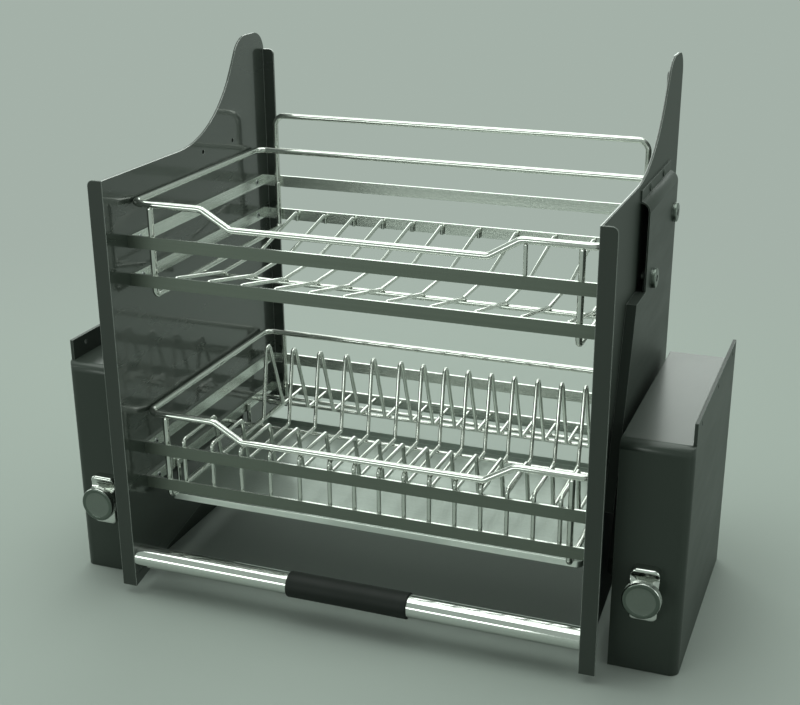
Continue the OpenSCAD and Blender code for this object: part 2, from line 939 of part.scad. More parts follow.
module upper_floor_wires() {
    slope_end = wire_y + floor_slope_run;
    slope_end_back = wire_back_y - floor_slope_run;
    xs = concat(
        group_places(-post_x + floor_left_inset, -floor_left_end, floor_left_count),
        group_places(floor_right_start, post_x - floor_right_inset, floor_right_count)
    );
    color(steel)
    from_front() translate([0, 0, upper_z])
        for (x = xs)
            swept_rod([
                [x, wire_y, fit],
                [x, wire_y, floor_top],
                [x, slope_end, floor_z],
                [x, slope_end_back, floor_z],
                [x, wire_back_y, floor_top],
                [x, wire_back_y, fit]
            ], wire_d, wire_d, across_wire, wire_sides);
}

module upper_cross_rails() {
    color(steel)
    from_front()
        for (y = [basket_setback + floor_rail_inset, basket_back - floor_rail_inset])
            cylinder_x(-post_x - rail_end, post_x + rail_end, y, upper_z + rail_z, rail_d);
}

// Rails that carry the tray, bent up at both ends to the side bars
module lower_tray_rails() {
    top_z = lower_z + band_h - band_t;
    low_z = tray_z - seat - tray_rail_d / 2;
    color(steel)
    from_front()
        for (y = [basket_setback + tray_rail_front, basket_back - tray_rail_back])
            square_rod([
                [-tray_rail_x, y, top_z],
                [-tray_rail_x, y, low_z],
                [tray_rail_x, y, low_z],
                [tray_rail_x, y, top_z]
            ], tray_rail_d, tray_rail_r);
}

module upper_stay_wire() {
    color(steel)
    from_front()
        translate([post_x - stay_inset, basket_setback + band_t + fit + stay_d / 2,
                upper_z + band_pitch])
            cylinder(h = top_rod_rise - band_pitch - top_rod_d / 2 - fit, d = stay_d);
}

module lower_plate_wires() {
    xs = concat(
        group_places(-post_x + plate_left_inset, -plate_left_end, plate_left_count),
        group_places(-plate_right_start, post_x - plate_right_inset, plate_right_count)
    );
    y0 = basket_setback;
    color(steel)
    from_front() translate([0, 0, lower_z])
        for (x = xs)
            swept_rod([
                [x, wire_y, plate_leg_foot],
                [x, wire_y, plate_ledge],
                [x, y0 + plate_ledge_end, plate_ledge],
                [x, y0 + plate_floor_start, plate_floor],
                [x, basket_back - plate_fin_front, plate_floor],
                [x, basket_back - plate_fin_top_back, plate_fin_h],
                [x, basket_back - plate_fin_back, plate_floor],
                [x, basket_back - band_t - fit, plate_floor]
            ], wire_d, fin_r, across_wire, wire_sides);
}

module lower_floor_rails() {
    z = lower_z + plate_floor - wire_d / 2 - fit - floor_rail_d / 2;
    color(steel)
    from_front()
        for (y = [basket_setback + floor_rail_front, basket_back - floor_rail_middle,
                basket_back - floor_rail_rear, basket_back - floor_rail_back])
            cylinder_x(-band_in + fit, band_in - fit, y, z, floor_rail_d);
}

module tray_form(inset, z0, z1) {
    half = tray_half - tray_corner_r;
    depth = tray_depth - 2 * tray_corner_r;
    r = tray_corner_r - inset;
    translate([0, tray_setback, z0])
        linear_extrude(z1 - z0)
            union() {
                translate([-half - r, tray_corner_r]) square([2 * half + 2 * r, depth]);
                translate([-half, inset]) square([2 * half, tray_depth - 2 * inset]);
                for (x = [-half, half], y = [tray_corner_r, tray_corner_r + depth])
                    translate([x, y]) circle(r = r);
            }
}

module drip_tray() {
    color(steel)
    from_front()
        difference() {
            tray_form(0, tray_z, tray_top);
            tray_form(tray_t, tray_z + tray_t, tray_top + overrun);
        }
}

on_left() housing();  // left_housing
on_right() housing();  // right_housing
on_left() wall_plate();  // left_wall_plate
on_right() wall_plate();  // right_wall_plate
on_left() knob_base();  // left_knob_base
on_right() knob_base();  // right_knob_base
on_left() knob();  // left_knob
on_right() knob();  // right_knob
on_left() adjusting_screw();  // left_adjusting_screw
on_right() adjusting_screw();  // right_adjusting_screw
on_left() spring_block();  // left_spring_block
on_right() spring_block();  // right_spring_block
on_left() balance_spring();  // left_balance_spring
on_right() balance_spring();  // right_balance_spring
on_left() damper();  // left_damper
on_right() damper();  // right_damper
on_left() axle_bushes();  // left_axle_bushes
on_right() axle_bushes();  // right_axle_bushes
on_left() front_axle();  // left_front_axle
on_right() front_axle();  // right_front_axle
on_left() rear_axle();  // left_rear_axle
on_right() rear_axle();  // right_rear_axle
on_left() arm(front_low, fit);  // left_front_arm
on_right() arm(front_low, fit);  // right_front_arm
on_left() arm(rear_low, open_pivot_gap);  // left_rear_arm
on_right() arm(rear_low, open_pivot_gap);  // right_rear_arm
on_left() side_panel();  // left_side_panel
on_right() side_panel();  // right_side_panel
on_left() arm_cover();  // left_arm_cover
on_right() arm_cover();  // right_arm_cover
on_left() pivot_pins();  // left_pivot_pins
on_right() pivot_pins();  // right_pivot_pins
on_left() cover_screws();  // left_cover_screws
on_right() cover_screws();  // right_cover_screws
handle_tube();
handle_grip();
handle_screws();
rear_guard();
top_rod(upper_z);  // upper_top_rod
bands(upper_z);  // upper_bands
frame_rods(upper_z, upper_z + band_pitch + band_h / 2);  // upper_frame_rods
upper_floor_wires();
upper_cross_rails();
upper_stay_wire();
basket_screws(upper_z);  // upper_screws
top_rod(lower_z);  // lower_top_rod
bands(lower_z);  // lower_bands
frame_rods(lower_z, lower_z + top_rod_rise);  // lower_frame_rods
lower_plate_wires();
lower_floor_rails();
lower_tray_rails();
basket_screws(lower_z);  // lower_screws
drip_tray();
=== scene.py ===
import math
import random

import bmesh
import bpy
from mathutils import Matrix, Vector


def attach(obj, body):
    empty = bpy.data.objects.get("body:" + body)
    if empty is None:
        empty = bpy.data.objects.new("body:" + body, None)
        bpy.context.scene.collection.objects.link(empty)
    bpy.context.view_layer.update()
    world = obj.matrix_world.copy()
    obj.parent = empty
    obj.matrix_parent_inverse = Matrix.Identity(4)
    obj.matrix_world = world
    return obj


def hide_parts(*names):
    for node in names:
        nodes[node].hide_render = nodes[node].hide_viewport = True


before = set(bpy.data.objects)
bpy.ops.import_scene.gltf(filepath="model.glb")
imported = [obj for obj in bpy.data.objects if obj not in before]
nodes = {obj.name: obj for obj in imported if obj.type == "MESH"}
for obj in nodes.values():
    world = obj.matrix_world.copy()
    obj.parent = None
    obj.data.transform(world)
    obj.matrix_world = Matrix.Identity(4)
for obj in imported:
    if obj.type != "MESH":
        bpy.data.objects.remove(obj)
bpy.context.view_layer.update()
print("frame loaded:", len(nodes), "parts")

# places below are in mm, with y counted from the front of the side panels, as on the drawing
panelFrontY = 150.4
fit = 0.05  # gap between pieces that touch
acrossRack, intoRack, upwards = Vector((1, 0, 0)), Vector((0, 1, 0)), Vector((0, 0, 1))
bothSides = ((-1, "left"), (1, "right"))


def place(x, y, z):
    return Vector((x, y - panelFrontY, z)) / 1000


# camera at the photograph's angle
cameraSet = {
    "place": (0.40845, -1.07445, 0.62875),
    "turn": 0.350,
    "tilt": -0.374,
    "lens": 60.6,
    "shift": (-0.0277, 0.0409),
}


def makeCamera():
    turn, tilt = cameraSet["turn"], cameraSet["tilt"]
    ahead = Vector((-math.sin(turn) * math.cos(tilt), math.cos(turn) * math.cos(tilt), math.sin(tilt)))
    right = Vector((math.cos(turn), math.sin(turn), 0))
    up = right.cross(ahead)
    data = bpy.data.cameras.new("photoCamera")
    data.sensor_width = 36
    data.lens = cameraSet["lens"]
    data.shift_x, data.shift_y = cameraSet["shift"]
    camera = bpy.data.objects.new("photoCamera", data)
    bpy.context.scene.collection.objects.link(camera)
    turned = Matrix((right, up, -ahead)).transposed().to_4x4()
    camera.matrix_world = Matrix.Translation(cameraSet["place"]) @ turned
    bpy.context.scene.camera = camera


makeCamera()
print("camera placed")


# shader node helpers
def addNode(tree, kind, at, operation=None):
    made = tree.nodes.new("ShaderNode" + kind)
    made.location = at
    if operation:
        made.operation = operation
    return made


def feedSocket(tree, socket, value):
    if isinstance(value, bpy.types.NodeSocket):
        tree.links.new(value, socket)
    else:
        socket.default_value = value


def mathNode(tree, operation, at, *values):
    made = addNode(tree, "Math", at, operation)
    for socket, value in zip(made.inputs, values):
        feedSocket(tree, socket, value)
    return made.outputs[0]


def vectorNode(tree, operation, at, *values):
    made = addNode(tree, "VectorMath", at, operation)
    for socket, value in zip(made.inputs, values):
        feedSocket(tree, socket, value)
    return made.outputs["Value" if operation in ("DOT_PRODUCT", "LENGTH") else "Vector"]


def noiseNode(tree, vector, at, scale, detail, rough):
    made = addNode(tree, "TexNoise", at)
    for name, value in (("Vector", vector), ("Scale", scale), ("Detail", detail), ("Roughness", rough)):
        feedSocket(tree, made.inputs[name], value)
    return made.outputs["Fac"]


def remapNode(tree, value, at, low, high, toLow=0.0, toHigh=1.0):
    made = addNode(tree, "MapRange", at)
    made.interpolation_type = "SMOOTHSTEP"
    names = ("Value", "From Min", "From Max", "To Min", "To Max")
    for name, given in zip(names, (value, low, high, toLow, toHigh)):
        feedSocket(tree, made.inputs[name], given)
    return made.outputs["Result"]


def pickNode(tree, kind, at, share, first, second):
    made = addNode(tree, "Mix", at)
    made.data_type = kind
    tree.links.new(share, made.inputs["Factor"])
    for slot, value in (("A", first), ("B", second)):
        socket = next(s for s in made.inputs if s.name == slot and s.type == kind)
        feedSocket(tree, socket, (*value, 1) if isinstance(value, tuple) else value)
    return next(s for s in made.outputs if s.type == kind)


def mixColour(tree, share, at, first, second):
    return pickNode(tree, "RGBA", at, share, first, second)


def newGroup(name, inputs, outputs):
    group = bpy.data.node_groups.new(name, "ShaderNodeTree")
    for label, value in inputs:
        kind = "NodeSocketVector" if isinstance(value, tuple) else "NodeSocketFloat"
        socket = group.interface.new_socket(name=label, in_out="INPUT", socket_type=kind)
        socket.default_value = value
    for label in outputs:
        group.interface.new_socket(name=label, in_out="OUTPUT", socket_type="NodeSocketFloat")
    start = group.nodes.new("NodeGroupInput")
    start.location = (-1100, 0)
    end = group.nodes.new("NodeGroupOutput")
    end.location = (700, 0)
    return group, start.outputs, end.inputs


# scale, detail and roughness of the groups' noises; cloud and peel take their scale from the material
noiseSet = {
    "patches": (45.0, 4.0, 0.6), "cloud": (3.0, 0.55), "speckle": (2600.0, 2.0, 0.5), "peel": (2.0, 0.45),
    "wipes": (1.0, 5.0, 0.62), "lines": (1.0, 3.0, 0.6), "hands": (16.0, 4.0, 0.6),
    "specks": (420.0, 2.0, 0.5),
}
# how much of each noise goes into a tone or a roughness, and the stretch of the wiped marks
blendSet = {"cloud": 0.65, "speckle": 0.35, "lines": 0.7, "specks": 0.3, "linesRough": 0.75,
            "handsRough": 0.25, "wiped": (14.0, 5.0, 22.0)}
# what is spread to 0 and 1: the bend at an edge, the wiped marks, brushed lines
rangeSet = {"edge": (0.99, 0.86), "wiped": (0.25, 0.8), "brushed": (0.3, 0.7)}


# 0 to 1 across a plane of the part, for a face that is finished unlike the rest, and for front faces that
# take a painted shade (bars) and a painted highlight (tray)
def makeFaceGroup():
    inputs = (("Axis", (0.0, 0.0, 1.0)), ("Low", 0.0), ("High", 0.001), ("Both Sides", 0.0))
    group, given, out = newGroup("faceMask", inputs, ("Mask",))
    here = addNode(group, "TexCoord", (-900, 200)).outputs["Object"]
    along = vectorNode(group, "DOT_PRODUCT", (-700, 100), here, given["Axis"])
    size = mathNode(group, "ABSOLUTE", (-500, 200), along)
    more = mathNode(group, "SUBTRACT", (-300, 200), size, along)
    used = mathNode(group, "MULTIPLY_ADD", (-100, 100), more, given["Both Sides"], along)
    group.links.new(remapNode(group, used, (200, 0), given["Low"], given["High"]), out["Mask"])
    return group


# bright line along edges: a painted highlight for the light caught on rounded edges, and on paint also wear
# where the coat is thin
def makeEdgeGroup():
    inputs = (("Radius", 0.0006), ("Strength", 1.0), ("Break Up", 0.3))
    group, given, out = newGroup("edgeHighlightAndWear", inputs, ("Mask",))
    bevel = addNode(group, "Bevel", (-700, 200))
    bevel.samples = 6
    group.links.new(given["Radius"], bevel.inputs["Radius"])
    surface = addNode(group, "NewGeometry", (-700, 0))
    here = addNode(group, "TexCoord", (-700, -250)).outputs["Object"]
    bend = vectorNode(group, "DOT_PRODUCT", (-500, 100), bevel.outputs["Normal"], surface.outputs["Normal"])
    edge = remapNode(group, bend, (-300, 100), *rangeSet["edge"])
    patches = noiseNode(group, here, (-500, -250), *noiseSet["patches"])
    gaps = mathNode(group, "MULTIPLY", (-300, -200), patches, given["Break Up"])
    kept = mathNode(group, "SUBTRACT", (-100, -200), 1.0, gaps)
    mask = mathNode(group, "MULTIPLY", (100, 0), edge, kept)
    group.links.new(mathNode(group, "MULTIPLY", (300, 0), mask, given["Strength"]), out["Mask"])
    return group


# coat of paint: cloudy tone, fine speckle and orange peel
def makeCoatGroup():
    inputs = (("Cloud Scale", 9.0), ("Peel Scale", 900.0))
    group, given, out = newGroup("paintCoat", inputs, ("Tone", "Dull", "Height"))
    here = addNode(group, "TexCoord", (-900, -200)).outputs["Object"]
    cloud = noiseNode(group, here, (-650, 200), given["Cloud Scale"], *noiseSet["cloud"])
    speckle = noiseNode(group, here, (-650, 0), *noiseSet["speckle"])
    peel = noiseNode(group, here, (-650, -200), given["Peel Scale"], *noiseSet["peel"])
    drawn = vectorNode(group, "MULTIPLY", (-850, -450), here, blendSet["wiped"])
    wipes = noiseNode(group, drawn, (-650, -450), *noiseSet["wipes"])
    clouds = mathNode(group, "MULTIPLY", (-450, 200), cloud, blendSet["cloud"])
    tone = mathNode(group, "MULTIPLY_ADD", (-300, 150), speckle, blendSet["speckle"], clouds)
    group.links.new(tone, out["Tone"])
    group.links.new(remapNode(group, wipes, (-300, -350), *rangeSet["wiped"]), out["Dull"])
    group.links.new(peel, out["Height"])
    return group


# fine lines left by drawing and brushing, longer where Stretch is small
def makeBrushGroup():
    inputs = (("Stretch", (8.0, 8.0, 1500.0)), ("Use UV", 0.0))
    group, given, out = newGroup("brushLines", inputs, ("Tone", "Rough", "Height"))
    coordinates = addNode(group, "TexCoord", (-900, -200))
    here = coordinates.outputs["Object"]
    picked = pickNode(group, "VECTOR", (-700, 0), given["Use UV"], here, coordinates.outputs["UV"])
    drawn = vectorNode(group, "MULTIPLY", (-500, 100), picked, given["Stretch"])
    lines = noiseNode(group, drawn, (-300, 100), *noiseSet["lines"])
    hands = noiseNode(group, here, (-300, -150), *noiseSet["hands"])
    specks = noiseNode(group, here, (-300, -400), *noiseSet["specks"])
    handled = mathNode(group, "MULTIPLY", (-100, -200), hands, blendSet["handsRough"])
    lined = mathNode(group, "MULTIPLY", (-100, 250), lines, blendSet["lines"])
    tone = mathNode(group, "MULTIPLY_ADD", (0, 150), specks, blendSet["specks"], lined)
    rough = mathNode(group, "MULTIPLY_ADD", (0, -100), lines, blendSet["linesRough"], handled)
    for name, value in (("Tone", tone), ("Rough", rough), ("Height", lines)):
        group.links.new(value, out[name])
    return group


faceMask = makeFaceGroup()
edgeHighlightAndWear = makeEdgeGroup()
paintCoat = makeCoatGroup()
brushLines = makeBrushGroup()


# puts a group into a material with its own values, named as its inputs with _ for a space
def placeGroup(tree, group, at, **values):
    made = addNode(tree, "Group", at)
    made.node_tree = group
    for name, value in values.items():
        made.inputs[name.replace("_", " ")].default_value = value
    return made.outputs


def startMaterial(name):
    made = bpy.data.materials.new(name)
    made.use_nodes = True
    tree = made.node_tree
    return made, tree, tree.nodes["Principled BSDF"]


def addBump(tree, shader, height, strength, distance=0.0002):
    bump = addNode(tree, "Bump", (-200, -350))
    bump.inputs["Strength"].default_value = strength
    bump.inputs["Distance"].default_value = distance
    tree.links.new(height, bump.inputs["Height"])
    tree.links.new(bump.outputs["Normal"], shader.inputs["Normal"])


# dark paint: "coated" is where a clear coat lies, on the panels' inner faces and the boxes' tops; "satin" is
# the panels' roughness outside it
# in each paint, "edge" is the colour of the bright edge line: a painted highlight on rounded edges, and wear
# where the coat is thin
paintSet = {
    "panelPaint": {"dark": (0.036, 0.046, 0.038), "light": (0.047, 0.060, 0.049), "edge": (0.64, 0.70, 0.65),
                   "edgeStrength": 1.0, "rough": (0.26, 0.34), "level": 0.4, "coat": 1.0, "coatRough": 0.07,
                   "coated": {"Axis": (1.0, 0.0, 0.0), "Low": 0.2075, "High": 0.207, "Both_Sides": 1.0},
                   "satin": 0.52, "peel": 0.03},
    "coverPaint": {"dark": (0.040, 0.051, 0.043), "light": (0.050, 0.063, 0.052), "edge": (0.46, 0.51, 0.47),
                   "edgeStrength": 1.0, "rough": (0.42, 0.50), "level": 0.35},
    "armPaint": {"dark": (0.036, 0.046, 0.038), "light": (0.050, 0.062, 0.052), "edge": (0.36, 0.40, 0.37),
                 "edgeStrength": 0.6, "rough": (0.36, 0.44), "level": 0.4},
    "boxPaint": {"dark": (0.034, 0.044, 0.036), "light": (0.043, 0.056, 0.046), "edge": (0.38, 0.43, 0.39),
                 "edgeStrength": 0.6, "rough": (0.36, 0.42), "level": 0.38, "coat": 0.45, "coatRough": 0.22,
                 "coated": {"Axis": (0.0, 0.0, 1.0), "Low": 0.1965, "High": 0.199},
                 "tint": (0.94, 1.0, 0.95)},
    "platePaint": {"dark": (0.034, 0.044, 0.036), "light": (0.043, 0.056, 0.046), "edge": (0.38, 0.43, 0.39),
                   "edgeStrength": 0.7, "rough": (0.44, 0.50), "level": 0.38},
}


def makePaint(name):
    values = paintSet[name]
    made, tree, shader = startMaterial(name)
    layer = placeGroup(tree, paintCoat, (-800, 0), Cloud_Scale=9.0, Peel_Scale=950.0)
    # bright edge line: a painted highlight along rounded edges, with wear where the coat is thin
    edge = placeGroup(tree, edgeHighlightAndWear, (-800, -300), Radius=0.0007, Strength=values["edgeStrength"],
                      Break_Up=0.3)
    body = mixColour(tree, layer["Tone"], (-500, 150), values["dark"], values["light"])
    edgeWornAndHighlit = mixColour(tree, edge["Mask"], (-250, 150), body, values["edge"])
    tree.links.new(edgeWornAndHighlit, shader.inputs["Base Color"])
    rough = remapNode(tree, layer["Dull"], (-500, -100), 0.0, 1.0, *values["rough"])
    if "coated" in values:
        coated = placeGroup(tree, faceMask, (-700, -550), **values["coated"])["Mask"]
        weight = mathNode(tree, "MULTIPLY", (-250, -550), coated, values["coat"])
        tree.links.new(weight, shader.inputs["Coat Weight"])
        shader.inputs["Coat Roughness"].default_value = values["coatRough"]
    if "satin" in values:
        smoother = mathNode(tree, "SUBTRACT", (-400, -200), rough, values["satin"])
        rough = mathNode(tree, "MULTIPLY_ADD", (-250, -100), smoother, coated, values["satin"])
    tree.links.new(rough, shader.inputs["Roughness"])
    shader.inputs["Specular IOR Level"].default_value = values["level"]
    shader.inputs["Specular Tint"].default_value = (*values.get("tint", (1.0, 1.0, 1.0)), 1.0)
    addBump(tree, shader, layer["Height"], values.get("peel", 0.07))
    return made


# bare metals: rods, flat bars, tray, knobs, screws, bushes; "front" is the depth, in metres along y, at which
# a front
# face turns to a colour of its own: duller and darkened on the bars, a painted shade for the dark they
# reflect;
# lightened on the tray, a painted highlight; and the knobs' own darker face
# on the bars and pins, "edge" is the colour of a bright line along rounded edges, a painted highlight
metalSet = {
    "rodSteel": {"dark": (0.64, 0.66, 0.62), "light": (0.72, 0.74, 0.70), "rough": (0.09, 0.12),
                 "stretch": (260.0, 3.0, 1.0), "uv": 1.0, "bump": 0.001},
    # the bars' front colour is painted shade standing in for a dark reflection; the bars are the same steel
    # all round
    "barSteel": {"dark": (0.64, 0.67, 0.63), "light": (0.76, 0.79, 0.75), "rough": (0.22, 0.28),
                 "stretch": (5.0, 5.0, 600.0), "bump": 0.003, "edge": (0.84, 0.87, 0.83), "edgeStrength": 0.8,
                 "front": (-0.1180, -0.1183), "frontToneAndPaintedLight": (0.165, 0.19, 0.16), "frontRough": 0.32},
    # the tray's pale front colour is a painted highlight on its front wall, standing in for a bright
    # reflection
    "traySteel": {"dark": (0.34, 0.38, 0.35), "light": (0.40, 0.44, 0.41), "rough": (0.34, 0.38),
                  "stretch": (6.0, 1300.0, 900.0), "bump": 0.004,
                  "front": (-0.1010, -0.1013), "frontToneAndPaintedLight": (0.80, 0.84, 0.80)},
    "tubeChrome": {"dark": (0.68, 0.70, 0.67), "light": (0.78, 0.80, 0.77), "rough": (0.06, 0.11),
                   "stretch": (300.0, 2.5, 1.0), "uv": 1.0, "bump": 0.001},
    "knobChrome": {"dark": (0.58, 0.60, 0.57), "light": (0.72, 0.74, 0.71), "rough": (0.09, 0.15),
                   "stretch": (6.0, 1900.0, 1.0), "uv": 1.0, "bump": 0.01},
    "knobSatin": {"dark": (0.58, 0.60, 0.57), "light": (0.70, 0.72, 0.69), "rough": (0.12, 0.18),
                  "stretch": (6.0, 1900.0, 1.0), "uv": 1.0, "bump": 0.01,
                  "front": (-0.1348, -0.1358), "frontToneAndPaintedLight": (0.13, 0.155, 0.135)},
    "pinSteel": {"dark": (0.15, 0.175, 0.155), "light": (0.22, 0.25, 0.225), "rough": (0.28, 0.38),
                 "bump": 0.03, "edge": (0.70, 0.74, 0.70), "edgeStrength": 0.7},
    "screwZinc": {"dark": (0.36, 0.38, 0.38), "light": (0.55, 0.57, 0.57), "rough": (0.22, 0.38),
                  "bump": 0.05},
    "blackZinc": {"dark": (0.045, 0.055, 0.048), "light": (0.075, 0.088, 0.078), "rough": (0.26, 0.38),
                  "bump": 0.05},
    # near-black for the sockets' insides: painted shade in the recess
    "socketPaintedShade": {"dark": (0.020, 0.024, 0.021), "light": (0.034, 0.040, 0.036), "rough": (0.35, 0.5),
                    "bump": 0.05},
    "springSteel": {"dark": (0.20, 0.21, 0.22), "light": (0.34, 0.35, 0.36), "rough": (0.28, 0.45),
                    "stretch": (1200.0, 20.0, 20.0), "bump": 0.05},
    "bushBronze": {"dark": (0.36, 0.24, 0.10), "light": (0.56, 0.40, 0.20), "rough": (0.25, 0.42),
                   "stretch": (900.0, 40.0, 40.0), "bump": 0.05},
}
plainStretch = (300.0, 300.0, 300.0)  # metals that aren't brushed


def makeMetal(name):
    values = metalSet[name]
    made, tree, shader = startMaterial(name)
    stretch = values.get("stretch", plainStretch)
    lines = placeGroup(tree, brushLines, (-800, 0), Stretch=stretch, Use_UV=values.get("uv", 0.0))
    tone = remapNode(tree, lines["Tone"], (-600, 150), *rangeSet["brushed"])
    body = mixColour(tree, tone, (-400, 150), values["dark"], values["light"])
    rough = remapNode(tree, lines["Rough"], (-500, -100), *rangeSet["brushed"], *values["rough"])
    # bright edge line on bare metal: a painted highlight along rounded edges
    if "edge" in values:
        edge = placeGroup(tree, edgeHighlightAndWear, (-800, -300), Radius=0.0006, Strength=values["edgeStrength"],
                          Break_Up=0.3)
        body = mixColour(tree, edge["Mask"], (-200, 150), body, values["edge"])
    # front faces take their own colour: painted shade on the bars, a painted highlight on the tray, the
    # knobs' own darker face
    if "front" in values:
        low, high = values["front"]
        front = placeGroup(tree, faceMask, (-400, 400), Axis=(0.0, 1.0, 0.0), Low=low, High=high)["Mask"]
        body = mixColour(tree, front, (-100, 250), body, values["frontToneAndPaintedLight"])
    if "frontRough" in values:
        rough = mathNode(tree, "MULTIPLY_ADD", (-250, -100), front, values["frontRough"], rough)
    tree.links.new(body, shader.inputs["Base Color"])
    tree.links.new(rough, shader.inputs["Roughness"])
    shader.inputs["Metallic"].default_value = 1
    addBump(tree, shader, lines["Height"], values["bump"])
    return made


# moulded: the grip of rubber with a fine grain, the dampers of smoother plastic
mouldSet = {
    "gripRubber": {"dark": (0.006, 0.009, 0.007), "light": (0.012, 0.016, 0.013), "rough": (0.50, 0.62),
                   "grain": 1500.0},
    "damperPlastic": {"dark": (0.016, 0.017, 0.018), "light": (0.035, 0.037, 0.038), "rough": (0.35, 0.5),
                      "grain": 700.0},
}


def makeMoulded(name):
    values = mouldSet[name]
    made, tree, shader = startMaterial(name)
    layer = placeGroup(tree, paintCoat, (-800, 0), Cloud_Scale=28.0, Peel_Scale=values["grain"])
    body = mixColour(tree, layer["Tone"], (-400, 150), values["dark"], values["light"])
    tree.links.new(body, shader.inputs["Base Color"])
    rough = remapNode(tree, layer["Dull"], (-500, -100), 0.0, 1.0, *values["rough"])
    tree.links.new(rough, shader.inputs["Roughness"])
    shader.inputs["Specular IOR Level"].default_value = 0.3
    addBump(tree, shader, layer["Height"], 0.45, 0.0003)
    return made


materials = {name: makePaint(name) for name in paintSet}
materials.update({name: makeMetal(name) for name in metalSet})
materials.update({name: makeMoulded(name) for name in mouldSet})
print("materials made:", len(materials))


# mesh helpers
def newPiece(name, mesh, material, body, replaced=()):
    piece = bpy.data.objects.new(name, mesh)
    bpy.context.scene.collection.objects.link(piece)
    mesh.materials.append(materials[material])
    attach(piece, body)
    if replaced:
        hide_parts(*replaced)
    return piece


def finishMesh(name, form, smoothAngle=0.6):
    bmesh.ops.recalc_face_normals(form, faces=form.faces)
    for edge in form.edges:
        if len(edge.link_faces) == 2 and edge.calc_face_angle(0) > smoothAngle:
            edge.smooth = False
    for face in form.faces:
        face.smooth = True
    mesh = bpy.data.meshes.new(name)
    form.to_mesh(mesh)
    form.free()
    return mesh


def roundPath(points, radius, closed=False, steps=6):
    made = []
    count = len(points)
    for i, corner in enumerate(points):
        if not closed and i in (0, count - 1):
            made.append(corner.copy())
            continue
        came = (corner - points[i - 1]).normalized()
        goes = (points[(i + 1) % count] - corner).normalized()
        turn = came.angle(goes)
        if turn < 1e-4:  # runs straight on
            made.append(corner.copy())
            continue
        start = corner - came * radius * math.tan(turn / 2)
        inward = (goes - came * came.dot(goes)).normalized()
        for k in range(steps + 1):
            angle = turn * k / steps
            made.append(start + inward * radius * (1 - math.cos(angle)) + came * radius * math.sin(angle))
    return made


def joinRings(form, first, second):
    count = len(first)
    return [form.faces.new((first[k], first[(k + 1) % count], second[(k + 1) % count], second[k]))
            for k in range(count)]


# point of a circle that lies in the plane of side and rise
def onCircle(side, rise, angle, radius):
    return (side * math.cos(angle) + rise * math.sin(angle)) * radius


def axisFrame(axis):
    axis = axis.normalized()
    side = axis.orthogonal().normalized()
    return axis, side, axis.cross(side)


# sweeps a round rod along a path, with softly rounded ends and a map that runs along it in metres
def sweepRod(form, path, diameter, sides, closed):
    uv = form.loops.layers.uv.verify()
    count = len(path)
    side = axisFrame(path[1] - path[0])[1]
    soft = diameter * 0.12  # rounding of the ends
    tip = 1 - soft * 2 / diameter
    rings, lengths = [], []
    run = 0.0
    for i, point in enumerate(path):
        came = (point - path[i - 1]).normalized()
        goes = (path[(i + 1) % count] - point).normalized()
        offsets = [(0.0, 1.0)]
        if closed:
            along = (path[(i + 1) % count] - path[i - 1]).normalized()
        elif i == 0:
            along, offsets = goes, [(0.0, tip), (soft, 1.0)]
        elif i == count - 1:
            along, offsets = came, [(-soft, 1.0), (0.0, tip)]
        else:
            along = (goes + came).normalized()
        side = (side - along * side.dot(along)).normalized()
        rise = along.cross(side)
        if i:
            run += (point - path[i - 1]).length
        for shift, share in offsets:
            rings.append([form.verts.new(point + along * shift + onCircle(
                side, rise, math.tau * k / sides, diameter / 2 * share)) for k in range(sides)])
            lengths.append(run + shift)
    total = len(rings)
    for i in range(total if closed else total - 1):
        first, second = rings[i], rings[(i + 1) % total]
        begin, end = lengths[i], lengths[i + 1] if i + 1 < total else run + (path[0] - path[-1]).length
        shift = 0
        if closed and i == total - 1:  # the frame may have turned once round the loop
            shift = min(range(sides), key=lambda s: (second[s].co - first[0].co).length)
        for k in range(sides):
            m = (k + 1) % sides
            corners = (first[k], first[m], second[(m + shift) % sides], second[(k + shift) % sides])
            face = form.faces.new(corners)
            for loop, (u, v) in zip(face.loops, ((k, begin), (k + 1, begin), (k + 1, end), (k, end))):
                loop[uv].uv = (u / sides * diameter * math.pi, v)
    if not closed:
        form.faces.new(list(reversed(rings[0])))
        form.faces.new(rings[-1])


# quarter circle of a turned profile, begun at the given angle
def quarterArc(along, radius, size, start, steps):
    angles = (start + math.pi / 2 * k / steps for k in range(steps + 1))
    return [(along - size * math.cos(a), radius + size * math.sin(a)) for a in angles]


# turns a profile of (along, radius) pairs round an axis
def latheForm(form, centre, axis, profile, segments):
    uv = form.loops.layers.uv.verify()
    mapWidth = 0.05  # of one full turn
    axis, side, rise = axisFrame(axis)
    rings = []
    for along, radius in profile:
        middle = centre + axis * along
        rings.append([form.verts.new(middle + onCircle(side, rise, math.tau * k / segments, radius))
                      for k in range(segments if radius else 1)])
    for i, (first, second) in enumerate(zip(rings, rings[1:])):
        for k in range(segments):
            m = (k + 1) % segments
            if len(first) == 1:
                corners = (first[0], second[m], second[k])
                marks = ((k, i), (k + 1, i + 1), (k, i + 1))
            elif len(second) == 1:
                corners = (first[k], first[m], second[0])
                marks = ((k, i), (k + 1, i), (k, i + 1))
            else:
                corners = (first[k], first[m], second[m], second[k])
                marks = ((k, i), (k + 1, i), (k + 1, i + 1), (k, i + 1))
            face = form.faces.new(corners)
            for loop, (u, row) in zip(face.loops, marks):
                along, radius = profile[row]
                loop[uv].uv = (u / segments * mapWidth, radius + abs(along))


headSet = {"sides": 36, "domeSteps": 5, "crown": 0.62, "chamfer": 0.15}


